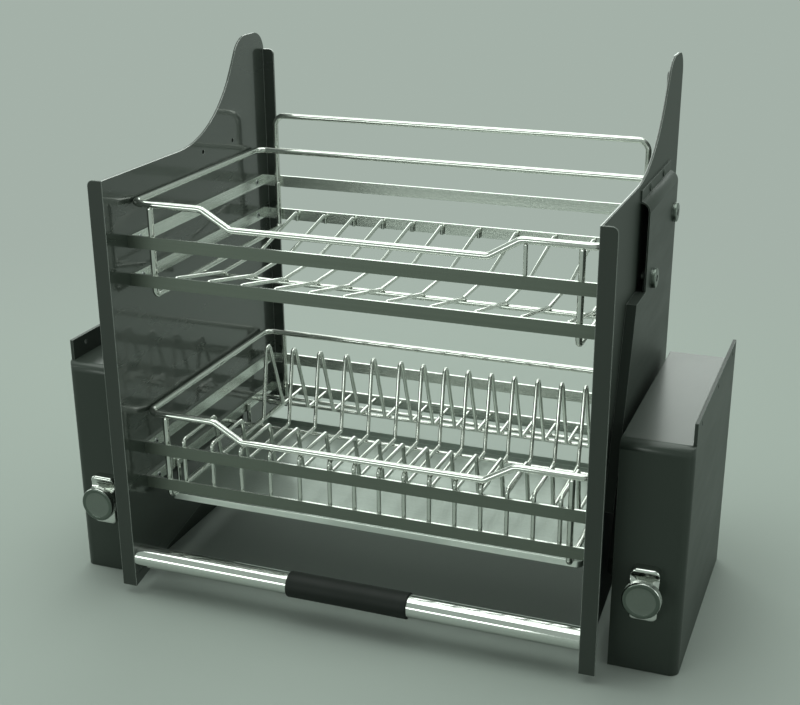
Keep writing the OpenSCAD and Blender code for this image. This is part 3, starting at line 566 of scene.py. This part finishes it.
# button head with a hexagon socket; seat is where the head rests, and axis points outwards
def socketHead(form, seat, axis, head):
    axis, side, rise = axisFrame(axis)
    sides, steps = headSet["sides"], headSet["domeSteps"]
    radius, height, socket, depth, chamfer = (v / 1000 for v in (
        head["radius"], head["height"], head["socket"], head["depth"], headSet["chamfer"]))

    def roundRing(along, reach):
        return [form.verts.new(seat + axis * along + onCircle(side, rise, math.tau * k / sides, reach))
                for k in range(sides)]

    def hexRing(along, more):
        made = []
        for k in range(sides):
            angle = math.tau * k / sides
            apart = (angle + math.pi / 6) % (math.pi / 3) - math.pi / 6
            reach = socket / 2 / math.cos(apart) + more
            made.append(form.verts.new(seat + axis * along + onCircle(side, rise, angle, reach)))
        return made

    rings = [roundRing(0, radius)]
    for k in range(steps + 1):
        angle = math.pi / 2 * k / steps
        rings.append(roundRing(
            height * head["edge"] + height * (1 - head["edge"]) * math.sin(angle),
            radius - (radius - socket * headSet["crown"]) * (1 - math.cos(angle)) * head["dome"]))
    rings += [hexRing(height, chamfer), hexRing(height - chamfer, 0), hexRing(height - depth, 0)]
    for first, second in zip(rings, rings[1:]):
        walls = joinRings(form, first, second)
    # the socket's walls and floor take the second, near-black material: painted shade in the recess
    for face in walls:  # the socket's own
        face.material_index = 1
    form.faces.new(rings[-1]).material_index = 1
    form.faces.new(list(reversed(rings[0])))


def rodPiece(name, paths, diameter, replaced, closed=False, sides=22):
    form = bmesh.new()
    for path in paths:
        sweepRod(form, path, diameter / 1000, sides, closed)
    newPiece(name, finishMesh(name, form), "rodSteel", "rack", [replaced])


def bentPath(corners, bend, closed=False, steps=8):
    return roundPath([place(*c) for c in corners], bend / 1000, closed, steps)


# the baskets' heights: the foot of the lower flat bar of each
basketSet = {
    "lowerFoot": 94.3, "upperFoot": 285.4, "frontY": 32.0, "backY": 286.5, "barThick": 2.5, "barHigh": 10.9,
    "barPitch": 33.7, "postX": 186.1, "postFrontY": 37.3, "postBackY": 281.2, "runDrop": 7.8,
    "postDiameter": 5.5, "elbow": 5.0,
}
topRodSet = {"diameter": 6.0, "rise": 71.7, "dip": 15.5, "dipOuter": 138.0, "dipInner": 112.0, "sideX": 203.2,
             "backY": 275.4, "bend": 10.0}
upperFoot, lowerFoot = basketSet["upperFoot"], basketSet["lowerFoot"]
barFrontY, barBackY = basketSet["frontY"] + basketSet["barThick"], basketSet["backY"] - basketSet["barThick"]
barMiddle = basketSet["barHigh"] / 2
topRodUnder = topRodSet["rise"] - topRodSet["diameter"] / 2


def topRodPath(foot):
    rod = topRodSet
    high = foot + rod["rise"]
    low = high - rod["dip"]
    front, back = basketSet["postFrontY"], rod["backY"]
    half = [(rod["dipInner"], front, low), (rod["dipOuter"], front, high), (rod["sideX"], front, high),
            (rod["sideX"], back, high)]
    return bentPath([(-x, y, z) for x, y, z in half] + half[::-1], rod["bend"], True)


for level in ("upper", "lower"):
    path = topRodPath(basketSet[level + "Foot"])
    rodPiece(level + "TopRod", [path], topRodSet["diameter"], level + "_top_rod", True)


# front post, run below the basket and rear post, one bent rod on each side
def postPaths(foot, rearTop):
    front, back, run = basketSet["postFrontY"], basketSet["postBackY"], foot - basketSet["runDrop"]
    frontTop = foot + topRodUnder - fit
    return [bentPath([(x, front, frontTop), (x, front, run), (x, back, run), (x, back, rearTop)],
                     basketSet["elbow"]) for x in (-basketSet["postX"], basketSet["postX"])]


upperPostTop = upperFoot + basketSet["barPitch"] + barMiddle
rodPiece("upperPosts", postPaths(upperFoot, upperPostTop), basketSet["postDiameter"], "upper_frame_rods")
rodPiece("lowerPosts", postPaths(lowerFoot, lowerFoot + topRodSet["rise"]), basketSet["postDiameter"],
         "lower_frame_rods")

guardSet = {"diameter": 5.5, "top": 390.8, "bend": 10.0}


def guardPath():
    x, y, top, foot = basketSet["postX"], basketSet["postBackY"], guardSet["top"], upperPostTop + fit
    return bentPath([(-x, y, foot), (-x, y, top), (x, y, top), (x, y, foot)], guardSet["bend"], steps=10)


rodPiece("rearGuard", [guardPath()], guardSet["diameter"], "rear_guard")

railSet = {"diameter": 5.0, "drop": 13.1, "end": 192.1, "upper": (93.0, 161.5),
           "floor": (78.0, 154.0, 218.0, 230.5), "floorDiameter": 4.0, "floorRise": 3.75, "floorEnd": 203.95}
# rails under the drip tray, bent up at both ends to the lower basket's side bars
trayRailSet = {"diameter": 4.0, "bend": 5.0, "x": 201.95, "depths": (80.0, 225.0), "low": 74.95, "top": 102.7}


def railPaths(depths, z, end):
    return [[place(-end, basketSet["frontY"] + y, z), place(end, basketSet["frontY"] + y, z)] for y in depths]


def trayRailPaths():
    x, low, top = trayRailSet["x"], trayRailSet["low"], trayRailSet["top"]
    return [bentPath([(-x, y, top), (-x, y, low), (x, y, low), (x, y, top)], trayRailSet["bend"])
            for y in trayRailSet["depths"]]


rodPiece("upperCrossRails", railPaths(railSet["upper"], upperFoot - railSet["drop"], railSet["end"]),
         railSet["diameter"], "upper_cross_rails", sides=18)
rodPiece("trayRails", trayRailPaths(), trayRailSet["diameter"], "lower_tray_rails", sides=18)
rodPiece("floorRails", railPaths(railSet["floor"], lowerFoot + railSet["floorRise"], railSet["floorEnd"]),
         railSet["floorDiameter"], "lower_floor_rails", sides=18)

# upper floor wires: front foot, short slope, floor, slope and rear foot
floorWireSet = {"diameter": 3.8, "top": 9.5, "floor": -8.65, "slopeRun": 85.0, "footLow": 0.05, "bend": 3.8,
                "leftStart": -166.2, "leftPitch": 31.0, "leftCount": 6,
                "rightStart": 26.4, "rightPitch": 37.7, "rightCount": 5}
# plate wires: front leg, ledge, floor, upright fin and rear end
plateWireSet = {"diameter": 3.8, "legFoot": 4.0, "ledge": 50.7, "ledgeEnd": 62.5, "floorStart": 71.0,
                "floor": 7.7, "finStart": 160.5, "finTop": 176.5, "finHigh": 91.7, "finEnd": 206.5,
                "bend": 4.0,
                "leftStart": -168.8, "leftPitch": 28.3, "leftCount": 6,
                "rightStart": -4.3, "rightPitch": 22.75, "rightCount": 9}


def wireRow(wires):
    left = [wires["leftStart"] + wires["leftPitch"] * i for i in range(wires["leftCount"])]
    return left + [wires["rightStart"] + wires["rightPitch"] * i for i in range(wires["rightCount"])]


def floorWirePaths():
    wires = floorWireSet
    front = barFrontY + fit + wires["diameter"] / 2
    back = barBackY - fit - wires["diameter"] / 2
    foot, top, floor, run = wires["footLow"], wires["top"], wires["floor"], wires["slopeRun"]
    corners = [(front, foot), (front, top), (front + run, floor),
               (back - run, floor), (back, top), (back, foot)]
    return [bentPath([(x, y, upperFoot + z) for y, z in corners], wires["bend"], steps=6)
            for x in wireRow(wires)]


def plateWirePaths():
    wires, y0 = plateWireSet, basketSet["frontY"]
    front = barFrontY + fit + wires["diameter"] / 2
    ledge, floor = wires["ledge"], wires["floor"]
    corners = [(front, wires["legFoot"]), (front, ledge), (y0 + wires["ledgeEnd"], ledge),
               (y0 + wires["floorStart"], floor), (y0 + wires["finStart"], floor),
               (y0 + wires["finTop"], wires["finHigh"]), (y0 + wires["finEnd"], floor),
               (barBackY - fit, floor)]
    return [bentPath([(x, y, lowerFoot + z) for y, z in corners], wires["bend"], steps=6)
            for x in wireRow(wires)]


rodPiece("upperFloorWires", floorWirePaths(), floorWireSet["diameter"], "upper_floor_wires", sides=14)
rodPiece("plateWires", plateWirePaths(), plateWireSet["diameter"], "lower_plate_wires", sides=14)

staySet = {"x": 142.0, "diameter": 3.5}
stayY = barFrontY + fit + staySet["diameter"] / 2
rodPiece("stayWire", [[place(staySet["x"], stayY, upperFoot + basketSet["barPitch"]),
                       place(staySet["x"], stayY, upperFoot + topRodUnder - fit)]],
         staySet["diameter"], "upper_stay_wire", sides=18)
print("rods and wires swept")

# small weld nuggets where wires cross the rails and meet the flat bars
weldSet = {"long": 2.5, "wide": 1.5, "high": 1.0, "uneven": 0.22, "seed": 7, "rings": 5, "sides": 10,
           "wireGap": 0.6, "postGap": 0.4, "floorWireRise": 2.2, "plateWireRises": (6.5, 38.7)}


def weldNugget(form, centre, along, rng):
    across = along.cross(upwards).normalized()
    if across.length < 0.5:
        across = acrossRack
    up = across.cross(along).normalized()
    sides = weldSet["sides"]
    grid = []
    for i in range(weldSet["rings"] + 1):
        tilt = math.pi * i / weldSet["rings"]
        row = []
        for k in range(sides):
            angle = math.tau * k / sides
            lump = 1 + rng.uniform(-1, 1) * weldSet["uneven"]
            offset = along * math.cos(tilt) * weldSet["long"]
            offset += across * math.sin(tilt) * math.cos(angle) * weldSet["wide"]
            offset += up * math.sin(tilt) * math.sin(angle) * weldSet["high"]
            row.append(form.verts.new(centre + offset / 1000 * lump))
        grid.append(row)
    for first, second in zip(grid, grid[1:]):
        joinRings(form, first, second)
    form.faces.new(list(reversed(grid[0])))
    form.faces.new(grid[-1])


def weldPiece(name, spots):
    rng = random.Random(weldSet["seed"])
    form = bmesh.new()
    form.loops.layers.uv.verify()
    for centre, along in spots:
        weldNugget(form, centre, along, rng)
    newPiece(name, finishMesh(name, form, smoothAngle=1.2), "rodSteel", "rack")


def postSpots(foot, side):
    x = side * basketSet["postX"]
    made = [(place(x, y, foot + lift), upwards) for lift in (barMiddle, basketSet["barPitch"] + barMiddle)
            for y in (barFrontY + weldSet["postGap"], barBackY - weldSet["postGap"])]
    return made + [(place(x, basketSet["postFrontY"], foot + topRodUnder), acrossRack)]


upperSpots, lowerSpots = [], []
upperJoint = upperFoot - railSet["drop"] + railSet["diameter"] / 2
lowerJoint = lowerFoot + railSet["floorRise"] + railSet["floorDiameter"] / 2
for x in wireRow(floorWireSet):
    upperSpots += [(place(x, basketSet["frontY"] + y, upperJoint), acrossRack) for y in railSet["upper"]]
    upperSpots += [(place(x, y, upperFoot + weldSet["floorWireRise"]), upwards)
                   for y in (barFrontY + weldSet["wireGap"], barBackY - weldSet["wireGap"])]
for x in wireRow(plateWireSet):
    lowerSpots += [(place(x, basketSet["frontY"] + y, lowerJoint), acrossRack) for y in railSet["floor"]]
    lowerSpots += [(place(x, barFrontY + weldSet["wireGap"], lowerFoot + rise), upwards)
                   for rise in weldSet["plateWireRises"]]
for side in (-1, 1):
    upperSpots += postSpots(upperFoot, side)
    lowerSpots += postSpots(lowerFoot, side)
weldPiece("upperWelds", upperSpots)
weldPiece("lowerWelds", lowerSpots)
print("welds set:", len(upperSpots) + len(lowerSpots))

# handle: bright tube with a soft sleeve round its middle, a touch slimmer between its ends
handleSet = {"y": 10.0, "z": 35.0, "half": 206.5, "radius": 10.0, "tubeRound": 0.3, "rings": 3,
             "ringPitch": 50.0, "gripHalf": 56.0, "gripRadius": 11.6, "gripRound": 1.3, "gripWaist": 0.18,
             "gripSteps": 24, "arcSteps": 6, "segments": 72}


def turnedPiece(name, centre, axis, profile, segments, material, body, replaced, smoothAngle=0.6):
    form = bmesh.new()
    latheForm(form, centre, axis, [(along / 1000, radius / 1000) for along, radius in profile], segments)
    newPiece(name, finishMesh(name, form, smoothAngle), material, body, [replaced])


def makeHandle():
    values = handleSet
    centre = place(0, values["y"], values["z"])
    half, radius, tubeRound = values["half"], values["radius"], values["tubeRound"]
    tube = [(-half, 0.0), (-half, radius - tubeRound), (-half + tubeRound, radius)]
    tube += [(k * values["ringPitch"], radius) for k in range(-values["rings"], values["rings"] + 1)]
    tube += [(half - tubeRound, radius), (half, radius - tubeRound), (half, 0.0)]
    turnedPiece("handleTube", centre, acrossRack, tube, values["segments"], "tubeChrome", "rack",
                "handle_tube")
    half, outer, soft = values["gripHalf"], values["gripRadius"], values["gripRound"]
    steps, arcSteps = values["gripSteps"], values["arcSteps"]
    grip = [(-half, radius + fit)] + quarterArc(soft - half, outer - soft, soft, 0, arcSteps)
    for k in range(1, steps):
        share = k / steps
        slim = values["gripWaist"] * math.sin(math.pi * share)
        grip.append(((half - soft) * (2 * share - 1), outer - slim))
    grip += quarterArc(half - soft, outer - soft, soft, math.pi / 2, arcSteps) + [(half, radius + fit)]
    turnedPiece("handleGrip", centre, acrossRack, grip, values["segments"], "gripRubber", "rack",
                "handle_grip")


makeHandle()

# knobs: dished disc with a rounded rim and two turned grooves, on a slim neck
knobSet = {"x": 251.15, "z": 76.0, "front": 14.5, "radius": 16.0, "thick": 8.0, "rim": 1.6, "dish": 0.35,
           "dishRings": (0.0, 4.0, 8.0, 11.9), "dishRadius": 12.4, "dishEdge": 0.6, "neckRadius": 7.0,
           "neckFoot": (0.5, 1.6), "neckEnd": 24.4, "neckSoft": 0.3, "bore": 4.1,
           "grooves": ((2.6, 3.6), (4.6, 5.6)), "grooveDeep": 0.7, "grooveSoft": 0.25,
           "arcSteps": 7, "segments": 80}


def makeKnob(side, label):
    knob = knobSet
    r, t, rim, dish, edge = knob["radius"], knob["thick"], knob["rim"], knob["dish"], knob["dishEdge"]
    profile = [(dish, radius) for radius in knob["dishRings"]]
    profile += [(dish / 2, knob["dishRadius"]), (0.0, knob["dishRadius"] + edge), (0.0, r - rim - edge)]
    profile += quarterArc(rim, r - rim, rim, 0, knob["arcSteps"])
    deep, soft = knob["grooveDeep"], knob["grooveSoft"]
    for start, end in knob["grooves"]:
        profile += [(start, r), (start + soft, r - deep), (end - soft, r - deep), (end, r)]
    profile += quarterArc(t - rim, r - rim, rim, math.pi / 2, knob["arcSteps"])
    neck, neckEnd, soft = knob["neckRadius"], knob["neckEnd"] - knob["front"], knob["neckSoft"]
    near, far = knob["neckFoot"]
    profile += [(t, neck + far), (t + near, neck + near), (t + far, neck), (neckEnd - soft, neck),
                (neckEnd, neck - soft), (neckEnd, knob["bore"])]
    centre = place(side * knob["x"], knob["front"], knob["z"])
    turnedPiece(label + "KnobTurned", centre, intoRack, profile, knob["segments"], "knobSatin",
                label + "_adjuster", label + "_knob", smoothAngle=0.7)


# rounded block behind the knob, with a hollow groove above it, built from rings that follow its outline
knobBaseSet = {"width": 24.0, "height": 47.0, "thick": 9.3, "corner": 5.0, "leastCorner": 0.6, "edge": 2.4,
               "grooveLift": 15.0, "grooveRadius": 7.0, "grooveDeep": 2.5, "front": 24.7,
               "cornerSteps": 8, "sideSteps": 40,
               "insets": (0.0, 0.12, 0.45, 0.9, 1.5, 2.1, 2.6, 4.0, 6.0, 8.0, 10.0, 11.3)}


def baseOutline(inset):
    base = knobBaseSet
    corner = max(base["corner"] - inset, base["leastCorner"])
    w, h = base["width"] / 2 - inset - corner, base["height"] / 2 - inset - corner
    quarters = ((1, 1), (-1, 1), (-1, -1), (1, -1))
    made = []
    for q, (sx, sz) in enumerate(quarters):
        for k in range(base["cornerSteps"] + 1):
            a = math.pi / 2 * (q + k / base["cornerSteps"])
            made.append((sx * w + corner * math.cos(a), sz * h + corner * math.sin(a)))
        nextX, nextZ = quarters[(q + 1) % 4]
        endX, endZ = made[-1]
        goX, goZ = nextX * w + corner * math.cos(a), nextZ * h + corner * math.sin(a)
        made += [(endX + (goX - endX) * k / base["sideSteps"], endZ + (goZ - endZ) * k / base["sideSteps"])
                 for k in range(1, base["sideSteps"])]
    return made


def baseRise(z, inset):
    base = knobBaseSet
    edge = base["edge"]
    rise = base["thick"] - edge + math.sqrt(edge ** 2 - max(edge - inset, 0.0) ** 2)
    drop = abs(z - base["grooveLift"])
    if drop < base["grooveRadius"]:
        bottom = base["thick"] - base["grooveDeep"] + base["grooveRadius"]
        rise = min(rise, bottom - math.sqrt(base["grooveRadius"] ** 2 - drop ** 2))
    return rise


def makeKnobBase(side, label):
    base = knobBaseSet
    form = bmesh.new()
    uv = form.loops.layers.uv.verify()

    def ring(inset, flat=False):
        return [form.verts.new(place(
            side * (knobSet["x"] + x), base["front"] + base["thick"] - (0.0 if flat else baseRise(z, inset)),
            knobSet["z"] + z)) for x, z in baseOutline(inset)]

    rings = [ring(0.0, True)] + [ring(inset) for inset in base["insets"]]
    size = len(rings[0])
    for first, second in zip(rings, rings[1:]):
        for face in joinRings(form, first, second):
            for loop in face.loops:
                loop[uv].uv = (loop.vert.co.x, loop.vert.co.z)
    form.faces.new(rings[0])
    last = rings[-1]
    for k in range(size // 2 - 1):  # closes the middle as a strip, so that the groove runs through
        form.faces.new((last[k], last[k + 1], last[size - k - 2], last[size - k - 1]))
    bmesh.ops.remove_doubles(form, verts=form.verts, dist=1e-6)
    mesh = finishMesh(label + "KnobBlock", form, smoothAngle=0.8)
    newPiece(label + "KnobBlock", mesh, "knobChrome", "side_boxes", [label + "_knob_base"])


for side, label in bothSides:
    makeKnob(side, label)
    makeKnobBase(side, label)
print("handle and knobs turned")

# screws with hexagon sockets, one set for each row of holes; a pivot pin has a bare shank behind its head
screwSet = {
    "basket": {"radius": 3.0, "height": 0.8, "socket": 2.5, "depth": 0.7, "edge": 0.35, "dome": 1.0,
               "x": 204.0, "inset": 16.0},
    "handle": {"radius": 5.0, "height": 2.0, "socket": 3.0, "depth": 1.3, "edge": 0.25, "dome": 1.0,
               "x": 208.5},
    "cover": {"radius": 3.25, "height": 1.2, "socket": 2.2, "depth": 0.8, "edge": 0.3, "dome": 1.0,
              "x": 210.0, "spots": ((170.0, 374.5), (228.0, 374.5))},
    "pin": {"radius": 8.5, "height": 4.0, "socket": 6.0, "depth": 2.5, "edge": 0.72, "dome": 0.32,
            "x": 217.5, "spots": ((164.0, 299.0), (249.5, 335.5)), "shank": 4.0, "long": 9.0,
            "segments": 32},
}


def screwPiece(name, kind, sides, spots, material, replaced):
    form = bmesh.new()
    form.loops.layers.uv.verify()
    head = screwSet[kind]
    outwards = -1 if kind == "basket" else 1  # the basket screws' heads lie inside
    for side in sides:
        axis = acrossRack * side * outwards
        for y, z in spots:
            seat = place(side * head["x"], y, z)
            socketHead(form, seat, axis, head)
            if "shank" in head:
                shank, long = head["shank"] / 1000, head["long"] / 1000
                latheForm(form, seat, -axis, [(0.0, shank), (long, shank), (long, 0.0)], head["segments"])
    made = newPiece(name, finishMesh(name, form, smoothAngle=0.55), material, "rack", [replaced])
    # the second material darkens the sockets: painted shade
    made.data.materials.append(materials["socketPaintedShade"])


inset = screwSet["basket"]["inset"]
for level, foot in (("upper", upperFoot), ("lower", lowerFoot)):
    spots = [(y, foot + lift + barMiddle) for lift in (0, basketSet["barPitch"])
             for y in (basketSet["frontY"] + inset, basketSet["backY"] - inset)]
    screwPiece(level + "BasketScrews", "basket", (-1, 1), spots, "screwZinc", level + "_screws")
screwPiece("handleScrewHeads", "handle", (-1, 1), [(handleSet["y"], handleSet["z"])], "screwZinc",
           "handle_screws")
for side, label in bothSides:
    screwPiece(label + "CoverScrewHeads", "cover", [side], screwSet["cover"]["spots"], "blackZinc",
               label + "_cover_screws")
    screwPiece(label + "PivotPinHeads", "pin", [side], screwSet["pin"]["spots"], "pinSteel",
               label + "_pivot_pins")
print("screws and pins set")

# finishes of the parts that keep their drawn shape
finishSet = {
    "panelPaint": ("side_panel",),
    "coverPaint": ("arm_cover",),
    "armPaint": ("front_arm", "rear_arm"),
    "boxPaint": ("housing",),
    "platePaint": ("wall_plate",),
    "springSteel": ("balance_spring", "adjusting_screw", "front_axle", "rear_axle"),
    "bushBronze": ("spring_block", "axle_bushes"),
    "damperPlastic": ("damper",),
}
plainFinishes = {"upper_bands": "barSteel", "lower_bands": "barSteel", "drip_tray": "traySteel"}
softEdges = {"side_panel": 0.35, "arm_cover": 0.3, "front_arm": 0.4, "rear_arm": 0.4, "housing": 0.3,
             "wall_plate": 0.5, "upper_bands": 0.35, "lower_bands": 0.35, "drip_tray": 0.2}
softSet = {"joinWithin": 0.00001, "flatWithin": math.radians(0.5), "segments": 2,
           "edgeAngle": math.radians(50)}


def dressNode(name, material):
    part = nodes[name]
    if not part.material_slots:
        part.data.materials.append(materials[material])
    for slot in part.material_slots:
        slot.material = materials[material]
    kind = name.split("_", 1)[1] if name.startswith(("left_", "right_")) else name
    width = softEdges.get(kind)
    if width:
        weld = part.modifiers.new("joinCorners", "WELD")
        weld.merge_threshold = softSet["joinWithin"]
        merged = part.modifiers.new("mergeFlat", "DECIMATE")  # one face for each flat side
        merged.decimate_type = "DISSOLVE"
        merged.angle_limit = softSet["flatWithin"]
        bevel = part.modifiers.new("softEdge", "BEVEL")
        bevel.width = width / 1000
        bevel.segments = softSet["segments"]
        bevel.limit_method = "ANGLE"
        bevel.angle_limit = softSet["edgeAngle"]


for material, kinds in finishSet.items():
    for kind in kinds:
        for label in ("left_", "right_"):
            dressNode(label + kind, material)
for name, material in plainFinishes.items():
    dressNode(name, material)
print("finishes given")

# pale floor that fades into the backdrop, and soft light from above
stageSet = {"floor": (0.402, 0.458, 0.418), "floorRough": 0.85, "floorLevel": 0.2, "floorLow": -0.0002,
            "floorRings": (0.0, 0.6, 1.2, 2.4, 4.8, 9.0, 16.0), "floorSides": 64,
            "backdrop": (0.372, 0.440, 0.393), "fadeStart": 0.45, "fadeEnd": 1.4, "skyLight": 0.12,
            "skyColour": (0.96, 1.0, 0.97), "lampColour": (0.93, 1.0, 0.95)}
lampSet = {
    "overhead": {"place": (-0.3, 0.25, 2.6), "aim": (0.0, 0.05, 0.15), "size": (3.4, 2.6), "power": 64.0},
    "behind": {"place": (-1.0, 2.8, 1.35), "aim": (0.0, 0.0, 0.25), "size": (3.2, 1.2), "power": 26.0},
    "frontLow": {"place": (-1.2, -2.6, 0.45), "aim": (0.0, 0.0, 0.2), "size": (1.6, 0.5), "power": 9.0},
    "rightSide": {"place": (2.2, -0.2, 0.9), "aim": (0.1, 0.0, 0.25), "size": (1.2, 1.0), "power": 7.0},
    "leftSide": {"place": (-2.4, 0.0, 0.9), "aim": (-0.1, 0.0, 0.25), "size": (1.2, 1.0), "power": 7.0},
}


def blendShaders(tree, share, first, second, end):
    blend = addNode(tree, "MixShader", (300, 0))
    for socket, source in zip(blend.inputs, (share, first.outputs[0], second.outputs[0])):
        tree.links.new(source, socket)
    tree.links.new(blend.outputs[0], tree.nodes[end].inputs["Surface"])


def makeFloor():
    form = bmesh.new()
    sides, low = stageSet["floorSides"], stageSet["floorLow"]
    rows = []
    for radius in stageSet["floorRings"]:
        rows.append([form.verts.new((radius * math.cos(a), radius * math.sin(a), low))
                     for a in (math.tau * k / sides for k in range(sides if radius else 1))])
    for k in range(sides):
        form.faces.new((rows[0][0], rows[1][k], rows[1][(k + 1) % sides]))
    for first, second in zip(rows[1:], rows[2:]):
        joinRings(form, second, first)
    mesh = bpy.data.meshes.new("studioFloor")
    form.to_mesh(mesh)
    form.free()
    floor = bpy.data.objects.new("studioFloor", mesh)
    bpy.context.scene.collection.objects.link(floor)
    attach(floor, "rack")  # stays under the rack, which swings down past the boxes
    made, tree, shader = startMaterial("studioFloor")
    shader.inputs["Base Color"].default_value = (*stageSet["floor"], 1)
    shader.inputs["Roughness"].default_value = stageSet["floorRough"]
    shader.inputs["Specular IOR Level"].default_value = stageSet["floorLevel"]
    here = addNode(tree, "NewGeometry", (-900, -200)).outputs["Position"]
    away = vectorNode(tree, "LENGTH", (-700, -200), here)
    far = remapNode(tree, away, (-500, -200), stageSet["fadeStart"], stageSet["fadeEnd"])
    rays = addNode(tree, "LightPath", (-700, -450)).outputs
    seen = mathNode(tree, "MAXIMUM", (-400, -450), rays["Is Camera Ray"], rays["Is Glossy Ray"])
    glow = addNode(tree, "Emission", (-200, -500))
    glow.inputs["Color"].default_value = (*stageSet["backdrop"], 1)
    blendShaders(tree, mathNode(tree, "MULTIPLY", (-200, -300), far, seen), shader, glow, "Material Output")
    mesh.materials.append(made)


def makeWorld():
    world = bpy.data.worlds.new("studioWorld")
    bpy.context.scene.world = world
    world.use_nodes = True
    tree = world.node_tree
    plain = tree.nodes["Background"]
    plain.inputs["Color"].default_value = (*stageSet["skyColour"], 1)
    plain.inputs["Strength"].default_value = stageSet["skyLight"]
    backdrop = addNode(tree, "Background", (-200, -200))
    backdrop.inputs["Color"].default_value = (*stageSet["backdrop"], 1)
    rays = addNode(tree, "LightPath", (-800, 0)).outputs
    mirrored = mathNode(tree, "MAXIMUM", (-600, 0), rays["Is Glossy Ray"], rays["Is Transmission Ray"])
    seen = mathNode(tree, "MAXIMUM", (-400, 0), rays["Is Camera Ray"], mirrored)
    blendShaders(tree, seen, plain, backdrop, "World Output")


def makeLamps():
    for name, values in lampSet.items():
        data = bpy.data.lights.new(name, "AREA")
        data.shape = "RECTANGLE"
        data.size, data.size_y = values["size"]
        data.energy = values["power"]
        data.color = stageSet["lampColour"]
        lamp = bpy.data.objects.new(name, data)
        bpy.context.scene.collection.objects.link(lamp)
        lamp.location = values["place"]
        ahead = Vector(values["aim"]) - lamp.location
        lamp.rotation_euler = ahead.to_track_quat("-Z", "Y").to_euler()
        lamp.visible_camera = False


makeFloor()
makeWorld()
makeLamps()
bpy.context.scene.view_settings.view_transform = "Standard"
print("stage lit")
